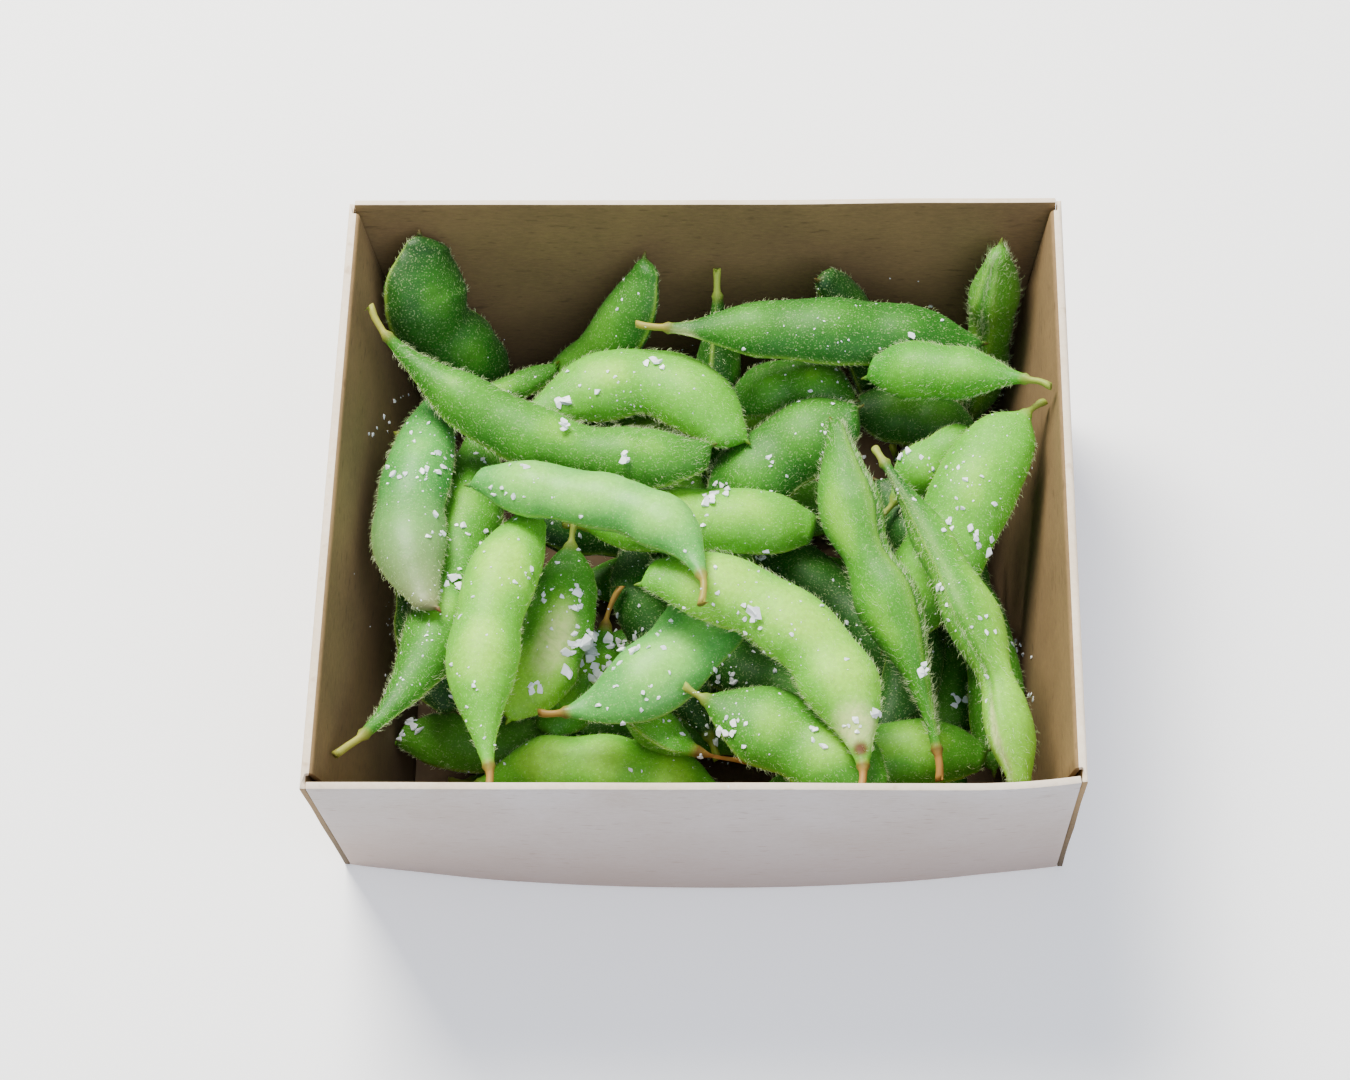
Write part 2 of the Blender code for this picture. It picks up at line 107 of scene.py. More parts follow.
SIDE_GRID = (50, 110)

# Pods: how finely they are drawn, and the forms that all of them share
SHELL_STEP = 0.7 * MM
SHELL_SIDES = 44
BURIED_STEP = 1.6 * MM
BURIED_SIDES = 20
PACKED_RING_SIDES = {89: 8, 43: 6}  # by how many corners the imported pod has
STALK_RINGS = 6
NOSE_RINGS = 7
SUTURE_CROWDING = 0.6  # how much closer the points lie at the two seams
EDGE_SHARPNESS = 1.12  # 1 is an oval section, more is a lens
NOSE_POWERS = (1.7, 0.62)  # how bluntly the tip closes
TIP_DRIFT = 0.55  # share of the half breadth by which the tip lies to one side
BEAK_LENGTH = 1.1 * MM
BEAK_RADIUS = 0.50 * MM
BEAK_LEAN = 0.2
BEAK_POINT = 0.4
CUT_HOLLOW = 0.15
BEAK_PLACES = np.array([0.0, 0.35, 0.7, 1.0])
BEAK_TAPER = np.array([1.0, 0.75, 0.5, 0.3])
BEAN_PLACES = {1: (0.55,), 2: (0.36, 0.70), 3: (0.26, 0.52, 0.77)}
BEAN_REACH = {1: 0.22, 2: 0.16, 3: 0.12}
BEAN_HEIGHT = 0.46 * MM
BEAN_LEVEL = 0.55
BEAN_BREADTH = 0.62
WAIST_DEPTH = 0.06
END_FADE = 4 * MM
SEAM_HEIGHT = 0.26 * MM
SEAM_HALF_ANGLE = 0.20
CREASE_HALF_ANGLE = 0.075
CREASE_SHARE = 0.75
GROOVE_DEPTH = 0.75 * MM
GROOVE_HALF_ANGLE = 0.17
GROOVE_FADE = 0.15
LIP_HEIGHT = 0.40 * MM
LIP_ANGLE = 0.42
STALK_FADE = 0.6 * MM
STALK_THINNING = (0.28, 0.22)  # at the shell, and how much more at the cut
STALK_WOBBLE = 0.18 * MM
STALK_WOBBLE_LENGTH = 2.4 * MM
COLLAR_HEIGHT = 0.34 * MM
COLLAR_PLACE = 0.3 * MM
COLLAR_REACH = 0.40 * MM
KNOB_HEIGHT = 0.14 * MM
KNOB_REACH = 0.5 * MM

# Colour of the pods, as shares: how light between the beans and how much lighter over one; where a grey
# tip starts along the pod; strength of the scars at the collar, the beak and a grey tip
WAIST_LIGHT = 0.22
BEAN_LIGHT = 0.55
BEAN_LIGHT_BREADTH = 0.75
SEAM_LINE_HALF_ANGLE = 0.12
LIP_LIGHT = 0.7
GREY_FROM = 0.45
GREY_SCAR_FROM = 0.92
COLLAR_SCAR, BEAK_SCAR, GREY_SCAR = 0.7, 0.6, 0.5
HUSK_PAST_START = 1.5 * MM
HUSK_FADE = 2.5 * MM

# Wrinkles, coarse and fine: distance from one to the next, height, and what tells their noise apart
WRINKLES = ((5 * MM, 0.16 * MM, 0), (1.9 * MM, 0.09 * MM, 60))
STALK_SEED = 120

# Which pods have one or three beans, lie wholly under others, or lie high on the pile
ONE_BEAN = (38, 45)
THREE_BEANS = (14, 16, 36, 42, 43, 49, 50, 52)
BURIED_PODS = 12
UPPER_FROM = 39
POD_COUNT = 52

# Hairs: thin spikes that bend towards the pod's tip, denser along the two seams
HAIR_SIDES = 3
HAIR_RADIUS = 0.023 * MM
HAIR_LENGTH = (0.25 * MM, 0.95 * MM)
HAIR_ROOT = 0.05 * MM
HAIR_KNEE = 0.55
HAIR_KNEE_RADIUS = 0.7
HAIR_BEND = 0.35
HAIR_RISE = (0.35, 1.0)
HAIR_SWEEP = (0.1, 0.9)
HAIR_STRAY = 0.32
HAIRS_PER_POD = 1050
HAIRY_GAIN = 0.35
USUAL_HAIRS = 0.6
BARE_ENDS = (2 * MM, 1 * MM)  # from the start of the shell, and from the tip
SEAM_SHARE = 0.30
SEAM_SPREAD = 2.2  # in sides of the pod
UNDERSIDE = -0.35  # skin that faces further down than this has no hairs

# Salt
SHARD_KINDS = 6
SHARD_CUTS = 5
CUT_DEPTHS = (0.28, 0.42)
GRAIN_GAIN = 1.55
GRAIN_SIZES = (0.4, 1.0)
SPREAD_SHARE = 0.6
STEEPEST = 0.15  # a grain slides off skin that faces up less than this
FLAKE_COUNT = 6
FLAKE_CRYSTALS = 4
FLAKE_SINK = 0.3 * MM

# Studio: place, size in metres, power in watts and colour of each softbox
SOFTBOXES = {
    "window_light": ((-0.30, 0.55, 0.82), 0.50, 31.5, "#FFFBF0"),
    "front_fill": ((0.40, -0.60, 0.80), 0.9, 8.0, "#E4ECFF"),
}
LIGHT_AIM = (0, 0, 0.03)
SKY_COLOUR = "#E9F0FC"
SKY_STRENGTH = 0.72
FLOOR_SIZE = 6
FLOOR_GLOW = 0.25

# Skins of the pods by their slot: colour at the waists, over the beans and where ripest, and roughness
POD_SKINS = {
    "deep_green": ("#0C330B", "#2C7216", "#4C8C1E", 0.50),
    "mid_green": ("#1D5E10", "#57A820", "#8AC82A", 0.50),
    "yellow_green": ("#388A18", "#76C62A", "#9ED838", 0.50),
    "blue_green": ("#26762A", "#62B64C", "#86CE4C", 0.38),
}
POD_FIELDS = ("bean", "seam", "channel", "pale", "dry", "faded", "stalk", "scar")

# Faces of the board in the order of the box's materials: dark and light fibres, flecks, painted shade at the
# foot of a wall, fibre relief
BOARD_FACES = {
    "outside": ("#A09388", "#BAB5B7", "#7C6B5C", "#A48D80", 0.34),
    "inside": ("#665033", "#8F7348", "#4A3820", "#33261A", 0.30),
    "cut_edge": ("#D3BC9E", "#EFE2CF", "#A98A63", "#C9AE8C", 0.35),
}
OUTSIDE, INSIDE, CUT_EDGE = range(3)


class Look(NamedTuple):
    """How one pod differs from the usual one.

    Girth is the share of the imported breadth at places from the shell's start (0) to its tip (1).
    Scars and pale patches are (place along the pod, angle around it, length mm, breadth mm).
    """
    light: float = 0.0  # yellower and paler above 0, darker below: partly the pod's own ripeness, partly painted light and shade
    fade: float = 0.0  # how much lighter the tip is than the stalk end
    hairs: float = USUAL_HAIRS
    wrinkles: float = 1.0
    seam: float = 1.0  # height of the seam ridges
    groove: float = 0.0  # depth of the channel along the seam that faces the camera, and how much painted shade darkens it
    groove_from: float = 0.0
    dry: float = 0.15  # brownness of the stalk and collar
    bend: float = 0.8  # bend of the stalk in mm
    grey_tip: float = 0.0
    girth: tuple = ()
    scars: tuple = ()
    pale: tuple = ()


# A look's light is the pod's own tone plus painted light and shade: pods lying in shade, such as 13, are
# painted lighter, and some are painted darker
LOOKS = {
    13: Look(light=0.8, hairs=0.8),
    18: Look(bend=2.6, dry=0.8, light=0.2, hairs=0.3),
    19: Look(light=0.2),
    21: Look(light=0.1),
    22: Look(hairs=0.3),
    23: Look(hairs=2.8, seam=0.5, groove=0.6, light=0.95,
             girth=((0, 1), (0.55, 1.0), (0.68, 0.9), (0.8, 1.3), (0.9, 1.25), (1, 1))),
    24: Look(dry=0.1, light=0.2),
    25: Look(hairs=0.5, light=0.35),
    26: Look(hairs=0.5, wrinkles=3.0, seam=0.6, dry=0.4,
             girth=((0, 1), (0.25, 0.78), (0.45, 0.85), (0.62, 0.97), (0.78, 1.06), (0.9, 1.2),
                    (0.96, 1.25), (1, 1.2))),
    28: Look(light=0.2),
    30: Look(light=-0.1, hairs=0.4),
    31: Look(light=-0.1, hairs=0.8),
    32: Look(hairs=1.3, light=-0.22),
    33: Look(light=0.2, hairs=0.6),
    34: Look(light=-0.05, hairs=1.0, fade=-0.25),
    35: Look(light=0.05, hairs=1.2, dry=0.3),
    36: Look(dry=0.45, hairs=0.7, light=-0.46, fade=-0.3, pale=((0.06, 1.4, 5.0, 2.2),)),
    37: Look(hairs=0.9, seam=1.5, light=-0.28, groove=0.3,
             girth=((0, 0.9), (0.2, 0.8), (0.4, 0.9), (0.7, 1), (1, 1))),
    39: Look(hairs=1.7, dry=0.35),
    40: Look(hairs=1.2, grey_tip=0.75, light=-0.12,
             girth=((0, 0.9), (0.2, 0.86), (0.5, 0.95), (0.7, 1), (1, 1))),
    41: Look(light=0.1, scars=((0.96, 1.2, 1.6, 0.9),)),
    42: Look(hairs=2.0, dry=0.35, bend=1.6,
             girth=((0, 1), (0.15, 0.84), (0.3, 0.94), (0.45, 1), (0.62, 0.9), (0.78, 1), (1, 1))),
    43: Look(light=0.18, hairs=0.7),
    44: Look(wrinkles=2.8, hairs=0.5, light=0.30, fade=0.4, pale=((0.55, 1.4, 7.0, 2.0),)),
    45: Look(dry=1.0, hairs=0.5, grey_tip=0.3),
    46: Look(dry=0.8, hairs=0.4, seam=0.7, light=0.22),
    47: Look(hairs=0.8, light=0.15,
             scars=((0.3, 1.0, 0.25, 0.2), (0.42, 1.7, 0.2, 0.2), (0.6, 1.2, 0.25, 0.2))),
    48: Look(dry=0.8, light=0.25),
    49: Look(dry=0.9, hairs=1.5, seam=0.8, light=0.3, scars=((0.05, 1.5, 1.5, 1.1),),
             pale=((0.12, 1.5, 4.0, 3.0),)),
    50: Look(dry=0.5, hairs=0.2, seam=0.7, light=0.35, bend=1.6),
    51: Look(dry=0.9, hairs=2.4, seam=0.4, groove=0.65, groove_from=0.2, light=0.08,
             girth=((0, 1), (0.10, 0.8), (0.2, 0.78), (0.33, 1.0), (0.45, 1.16), (0.58, 0.86),
                    (0.69, 1.12), (0.8, 1.08), (0.92, 1.0), (1, 1))),
    52: Look(hairs=2.2, seam=0.4, groove=0.42, groove_from=0.4, light=0.26, fade=0.5, dry=0.2, bend=0.3,
             pale=((0.86, 0.0, 7.0, 0.9),),
             girth=((0, 1), (0.15, 0.75), (0.3, 0.72), (0.42, 1.02), (0.50, 1.12), (0.6, 0.98),
                    (0.70, 0.52), (0.78, 0.78), (0.86, 1.12), (0.94, 1.1), (1, 1))),
}

# Where the photograph shows salt: pixel across, pixel down, grains, spread in pixels, largest grain in mm
SALT_SPOTS = (
    (563, 399, 3, 6, 1.5), (624, 440, 4, 8, 1.7), (544, 462, 7, 14, 1.2), (514, 462, 5, 10, 1.1),
    (485, 453, 5, 12, 1.1), (440, 464, 5, 12, 1.1), (400, 480, 5, 14, 1.1), (421, 473, 4, 8, 1.2),
    (443, 525, 6, 14, 1.2), (504, 493, 5, 12, 1.0), (456, 580, 5, 9, 1.2), (580, 597, 7, 10, 1.4),
    (585, 655, 14, 18, 1.8), (624, 644, 14, 20, 1.5), (536, 688, 4, 7, 1.2), (418, 726, 6, 10, 1.4),
    (400, 736, 3, 6, 1.0), (709, 500, 7, 14, 1.4), (718, 485, 4, 10, 1.2), (761, 555, 5, 7, 1.5),
    (769, 457, 3, 8, 1.0), (874, 713, 3, 5, 1.6), (852, 730, 5, 10, 1.1), (923, 670, 5, 7, 1.3),
    (945, 592, 6, 9, 1.3), (976, 542, 8, 12, 1.3), (949, 523, 4, 8, 1.2), (903, 453, 5, 8, 1.3),
    (940, 404, 5, 10, 1.2), (930, 356, 12, 16, 1.4), (657, 363, 4, 6, 1.3), (723, 679, 5, 10, 1.1),
    (726, 726, 9, 14, 1.3), (820, 733, 5, 12, 1.1), (958, 698, 4, 6, 1.3), (1020, 645, 5, 6, 1.1),
    (1031, 695, 4, 5, 1.0), (590, 380, 6, 26, 0.8), (690, 480, 10, 30, 0.8), (470, 560, 14, 40, 0.8),
    (640, 700, 16, 40, 0.8), (430, 430, 14, 40, 0.8), (700, 600, 14, 50, 0.8), (860, 600, 14, 60, 0.8),
    (960, 480, 16, 50, 0.8), (900, 340, 16, 60, 0.7), (740, 640, 16, 50, 0.8), (540, 560, 16, 40, 0.8),
    (800, 400, 14, 60, 0.7), (600, 620, 18, 50, 0.9), (500, 440, 14, 40, 0.8), (990, 640, 12, 50, 0.8),
    (450, 680, 14, 50, 0.7), (380, 430, 6, 20, 0.8), (700, 760, 10, 50, 0.7), (620, 300, 5, 30, 0.5),
    (520, 760, 8, 60, 0.6), (850, 480, 10, 60, 0.7), (592, 640, 9, 12, 1.9), (600, 668, 8, 12, 1.5),
    (430, 460, 60, 50, 0.30), (520, 430, 60, 60, 0.30), (640, 400, 50, 60, 0.30), (760, 620, 60, 70, 0.30),
    (560, 600, 60, 60, 0.30), (960, 460, 60, 60, 0.30), (720, 720, 50, 60, 0.30), (900, 620, 50, 60, 0.30),
    (420, 620, 60, 50, 0.30), (830, 350, 40, 60, 0.30),
)


# Materials

def linear(hex_colour):
    """A colour written as sRGB hex, as linear red, green, blue and alpha."""
    parts = [int(hex_colour[k:k + 2], 16) / 255 for k in (1, 3, 5)]
    return (*[c / 12.92 if c <= 0.04045 else ((c + 0.055) / 1.055) ** 2.4 for c in parts], 1.0)


def add(tree, kind, inputs=None, **settings):
    """One node with its settings; an input is a value or the socket that feeds it."""
    made = tree.nodes.new(kind)
    for name, value in settings.items():
        setattr(made, name, value)
    for name, value in (inputs or {}).items():
        if isinstance(value, bpy.types.NodeSocket):
            tree.links.new(value, made.inputs[name])
        else:
            made.inputs[name].default_value = value
    return made


def start_material(name, finish):
    """New material with the values of its finish on the shader's own sockets."""
    material = bpy.data.materials.new(name)
    material.use_nodes = True
    shader = material.node_tree.nodes["Principled BSDF"]
    for socket, value in finish.items():
        shader.inputs[socket].default_value = value
    return material, material.node_tree, shader


def green_pod_skin(name, waist_colour, bean_colour, ripe_colour, roughness):
    """Skin of a boiled soybean pod: thin, satin and slightly see-through, paler over the beans.

    It is greener at the waists, yellower over the beans, pale along its two seams, and brown at the
    dry stalk, at the collar and at the beak. Each pod's own attributes, POD_FIELDS, say where.
    """
    material, tree, shader = start_material(name, {
        "Subsurface Weight": 0.22, "Subsurface Radius": (0.5, 1.0, 0.2), "Subsurface Scale": 1.2 * MM,
        "Sheen Weight": 0.03, "Sheen Roughness": 0.45, "Sheen Tint": linear("#E4F2C8"),
        "IOR": 1.42, "Specular IOR Level": 0.30})
    place = add(tree, "ShaderNodeTexCoord").outputs["Object"]
    field = {key: add(tree, "ShaderNodeAttribute", attribute_name=key).outputs["Fac"] for key in POD_FIELDS}
    clouds, mottle, pores = (
        add(tree, "ShaderNodeTexNoise",
            {"Vector": place, "Scale": 1 / size, "Detail": detail}).outputs["Fac"]
        for size, detail in ((11 * MM, 2.0), (0.8 * MM, 3.0), (0.3 * MM, 1.0)))
    veins = add(tree, "ShaderNodeTexNoise",
                {"Vector": place, "Scale": 1 / (2.2 * MM), "Detail": 4.0, "Roughness": 0.6,
                 "Distortion": 1.2}).outputs["Fac"]
    cloudiness = add(tree, "ShaderNodeMath", {0: clouds, 1: 0.7, 2: -0.35}, operation="MULTIPLY_ADD")
    light_share = add(tree, "ShaderNodeMath", {0: cloudiness.outputs[0], 1: field["bean"]},
                      use_clamp=True).outputs[0]
    ripening = add(tree, "ShaderNodeMapRange",
                   {"Value": light_share, "From Min": 0.62, "From Max": 1.0, "To Max": 0.75}).outputs[0]
    specks = add(tree, "ShaderNodeMapRange",
                 {"Value": pores, "From Min": 0.58, "From Max": 0.74, "To Max": 0.28}).outputs[0]
    body = linear(waist_colour)
    for share, colour in ((light_share, bean_colour), (ripening, ripe_colour), (specks, "#D2E6A0")):
        body = add(tree, "ShaderNodeMix", {"Factor": share, "A": body, "B": linear(colour)},
                   data_type="RGBA").outputs["Result"]
    fleck = add(tree, "ShaderNodeMapRange",
                {"Value": mottle, "From Min": 0.3, "From Max": 0.7, "To Min": 0.88, "To Max": 1.12})
    body = add(tree, "ShaderNodeVectorMath", {0: body, "Scale": fleck.outputs[0]},
               operation="SCALE").outputs["Vector"]
    seam_share, painted_groove_shade, paleness = (
        add(tree, "ShaderNodeMath", {0: field[key], 1: strength}, operation="MULTIPLY").outputs[0]
        for key, strength in (("seam", 0.45), ("channel", 0.7), ("pale", veins)))
    husk = add(tree, "ShaderNodeMix",
               {"Factor": field["dry"], "A": linear("#86A03A"), "B": linear("#A8743A")},
               data_type="RGBA").outputs["Result"]
    # The channel field mixes in a dark blue-green: painted shade in the groove
    for share, colour in ((seam_share, linear("#A9CC4A")), (painted_groove_shade, linear("#1F6A38")),
                          (paleness, linear("#E8E8A0")), (field["faded"], linear("#8A8A62")),
                          (field["stalk"], husk), (field["scar"], linear("#5A3418"))):
        body = add(tree, "ShaderNodeMix", {"Factor": share, "A": body, "B": colour},
                   data_type="RGBA").outputs["Result"]
    satin = add(tree, "ShaderNodeMapRange",
                {"Value": mottle, "To Min": roughness - 0.08, "To Max": roughness + 0.12})
    relief = add(tree, "ShaderNodeBump", {"Height": veins, "Strength": 0.22, "Distance": 0.3 * MM})
    grain = add(tree, "ShaderNodeBump",
                {"Height": mottle, "Strength": 0.25, "Distance": 0.08 * MM,
                 "Normal": relief.outputs["Normal"]})
    tree.links.new(body, shader.inputs["Base Color"])
    tree.links.new(satin.outputs[0], shader.inputs["Roughness"])
    tree.links.new(grain.outputs["Normal"], shader.inputs["Normal"])
    return material


def kraft_board(name, dark, light, fleck_colour, painted_shade_colour, fibre_strength):
    """Uncoated kraft board: felted wood fibres 1 to 3 mm long, matt, cloudy, with dark flecks.

    The fibres lie level, and towards the bottom of a wall a darker colour takes over: painted shade, deepest
    on the lining under the pods.
    """
    material, tree, shader = start_material(name, {"Roughness": 0.82, "IOR": 1.45})
    place = add(tree, "ShaderNodeTexCoord").outputs["Object"]
    level = add(tree, "ShaderNodeMapping", {"Vector": place, "Scale": (0.35, 0.35, 1.6)}).outputs[0]
    fibres = add(tree, "ShaderNodeTexNoise",
                 {"Vector": level, "Scale": 1 / (0.55 * MM), "Detail": 6.0, "Roughness": 0.7}).outputs["Fac"]
    clouds, flecks = (
        add(tree, "ShaderNodeTexNoise",
            {"Vector": vector, "Scale": 1 / size, "Detail": detail}).outputs["Fac"]
        for vector, size, detail in ((place, 22 * MM, 3.0), (level, 1.1 * MM, 2.0)))
    tone = add(tree, "ShaderNodeMath", {0: clouds, 1: 1.1, 2: -0.65}, operation="MULTIPLY_ADD").outputs[0]
    tone = add(tree, "ShaderNodeMath", {0: fibres, 1: 1.2, 2: tone},
               operation="MULTIPLY_ADD", use_clamp=True).outputs[0]
    fleck_share = add(tree, "ShaderNodeMapRange",
                      {"Value": flecks, "From Min": 0.62, "From Max": 0.74, "To Max": 0.55}).outputs[0]
    height = add(tree, "ShaderNodeSeparateXYZ", {"Vector": place}).outputs["Z"]
    # Painted shade: the lower part of each wall takes on the darker colour given for its foot
    lower_wall_painted_shade = add(tree, "ShaderNodeMapRange",
                     {"Value": height, "From Min": 0.0, "From Max": 0.9 * WALL_HEIGHT,
                      "To Min": 0.75, "To Max": 0.0}).outputs[0]
    body = linear(dark)
    for share, colour in ((tone, light), (fleck_share, fleck_colour), (lower_wall_painted_shade, painted_shade_colour)):
        body = add(tree, "ShaderNodeMix", {"Factor": share, "A": body, "B": linear(colour)},
                   data_type="RGBA").outputs["Result"]
    relief = add(tree, "ShaderNodeBump",
                 {"Height": fibres, "Strength": fibre_strength, "Distance": 0.25 * MM})
    dents = add(tree, "ShaderNodeBump",
                {"Height": clouds, "Strength": 0.6, "Distance": 0.8 * MM,
                 "Normal": relief.outputs["Normal"]})
    tree.links.new(body, shader.inputs["Base Color"])
    tree.links.new(dents.outputs["Normal"], shader.inputs["Normal"])
    return material


def two_tone(name, finish, size, one, other):
    """Plain material whose colour drifts between two over the size given."""
    material, tree, shader = start_material(name, finish)
    place = add(tree, "ShaderNodeTexCoord").outputs["Object"]
    drift = add(tree, "ShaderNodeTexNoise", {"Vector": place, "Scale": 1 / size, "Detail": 2.0})
    body = add(tree, "ShaderNodeMix",
               {"Factor": drift.outputs["Fac"], "A": linear(one), "B": linear(other)}, data_type="RGBA")
    tree.links.new(body.outputs["Result"], shader.inputs["Base Color"])
    return material


def coarse_salt():
    """Evaporated sea salt: clear to milky broken crystals with flat, bright faces."""
    finish = {"Roughness": 0.30, "IOR": 1.54, "Transmission Weight": 0.08}
    return two_tone("coarse_sea_salt", finish, 0.8 * MM, "#E8F2F6", "#FFFFFF")


def pod_down():
    """Short silvery hairs of the pod, pale enough to glow against the green."""
    return two_tone("silvery_pod_hair", {"Roughness": 0.5}, 3 * MM, "#A9C46C", "#E2EDC0")


def pale_studio_floor():
    """Matt white paper sweep, lit a little from within so that it stays pale round the box."""
    return start_material("matt_white_paper", {
        "Base Color": linear("#FDFDFD"), "Emission Color": linear("#FFFFFF"),
        "Emission Strength": FLOOR_GLOW, "Roughness": 0.9})[0]


# Pieces and curves

def new_piece(name, points, faces, materials):
    mesh = bpy.data.meshes.new(name)
    mesh.from_pydata([tuple(p) for p in points], [], faces)
    mesh.update()
    piece = bpy.data.objects.new(name, mesh)
    bpy.context.scene.collection.objects.link(piece)
    for material in materials:
        mesh.materials.append(material)
    return piece


def select_only(*pieces):
    bpy.ops.object.select_all(action="DESELECT")
    for piece in pieces:
        piece.select_set(True)
    bpy.context.view_layer.objects.active = pieces[0]


def face_outwards(piece):
    body = bmesh.new()
    body.from_mesh(piece.data)
    bmesh.ops.recalc_face_normals(body, faces=body.faces)
    body.to_mesh(piece.data)
    body.free()


def bump(distance, reach):
    """Soft bump: 1 at no distance, falling to 0 past the reach."""
    return np.exp(-(distance / reach) ** 2)


def ramp(distance, reach):
    """Straight ramp from 0 at no distance to 1 at the reach."""
    return np.clip(distance / reach, 0, 1)


def unit(rows):
    return rows / np.linalg.norm(rows, axis=1)[:, None]


def turned_from(angle, line):
    """Angle from a line along a pod, from minus half a turn to half a turn."""
    return (angle - line + pi) % (2 * pi) - pi


def smooth_through(knots, values, at):
    """Smooth curve through the values at the knots, read at the places given."""
    slopes = np.gradient(values, knots, axis=0)
    k = np.clip(np.searchsorted(knots, at, side="right") - 1, 0, len(knots) - 2)
    span = (knots[k + 1] - knots[k])[:, None]
    u = (at - knots[k])[:, None] / span
    start = (2 * u ** 3 - 3 * u ** 2 + 1) * values[k] + (u ** 3 - 2 * u ** 2 + u) * span * slopes[k]
    end = (3 * u ** 2 - 2 * u ** 3) * values[k + 1] + (u ** 3 - u ** 2) * span * slopes[k + 1]
    return start + end


def noise_at(points, grain, seed):
    """Smooth noise from -1 to 1 at each point, with features of the size grain."""
    shift = Vector((seed * 3.1, seed * 1.7, seed * 2.3))
    flat = points.reshape(-1, 3) / grain
    return np.array([noise.noise(Vector(p) + shift) for p in flat]).reshape(points.shape[:-1])


# Rings of a packed pod, read from its solid

def layers_from(pole):
    """Vertices of a pod in layers, by how many edges they lie from the pole."""
    seen = {pole}
    layers = [[pole]]
    while True:
        after = {edge.other_vert(v) for v in layers[-1] for edge in v.link_edges} - seen
        if not after:
            return layers
        seen |= after
        layers.append(list(after))


def ring_in_order(layer, ahead):
    """Points of one ring, in order of their angle about the direction ahead."""
    points = np.array([v.co for v in layer], float)
    spokes = points - points.mean(axis=0)
    ahead = ahead / np.linalg.norm(ahead)
    level = np.cross(ahead, (0, 0, 1)) if abs(ahead[2]) < 0.9 else np.cross(ahead, (1, 0, 0))
    upright = np.cross(ahead, level)
    return points[np.argsort(np.arctan2(spokes @ upright, spokes @ level))]


def packed_rings(node):
    """Corners of a packed pod ring by ring from the cut stalk, in step with one another, and its tip."""
    body = bmesh.new()
    body.from_mesh(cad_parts[node].data)
    bmesh.ops.remove_doubles(body, verts=body.verts, dist=1e-6)
    sides = PACKED_RING_SIDES[len(body.verts)]
    layers = next(found for found in map(layers_from, body.verts)
                  if all(len(layer) == sides for layer in found[1:]))
    tip = np.array(layers[0][0].co, float)
    layers = layers[:0:-1]
    middles = [np.mean([v.co for v in layer], axis=0) for layer in layers]
    rings = []
    for middle, after, layer in zip(middles, middles[1:] + [tip], layers):
        ring = ring_in_order(layer, after - middle)
        if rings:
            before = rings[-1] - rings[-1].mean(axis=0)
            spokes = ring - ring.mean(axis=0)
            match = [(before * np.roll(spokes, s, axis=0)).sum() for s in range(sides)]
            ring = np.roll(ring, int(np.argmax(match)), axis=0)
        rings.append(ring)
    body.free()
    return np.array(rings), tip


def read_pod(node):
    """Middles and half axes of a packed pod's rings, from the cut stalk to the tip."""
    rings, tip = packed_rings(node)
    sides = rings.shape[1]
    half = sides // 2
    across = [np.linalg.norm(rings[:, k] - rings[:, k + half], axis=1).sum() for k in range(half)]
    rings = np.roll(rings, -int(np.argmax(across)), axis=1)
    wide = (rings[:, 0] - rings[:, half]) / 2
    quarter = (rings[:, 1:half] - rings[:, half + 1:]).sum(axis=1) / 2
    thin = quarter / sum(sin(2 * pi * k / sides) ** EDGE_SHARPNESS for k in range(1, half))
    if thin[:, 2].sum() < 0:
        wide, thin = -wide, -thin
    return rings.mean(axis=1), wide, thin, tip


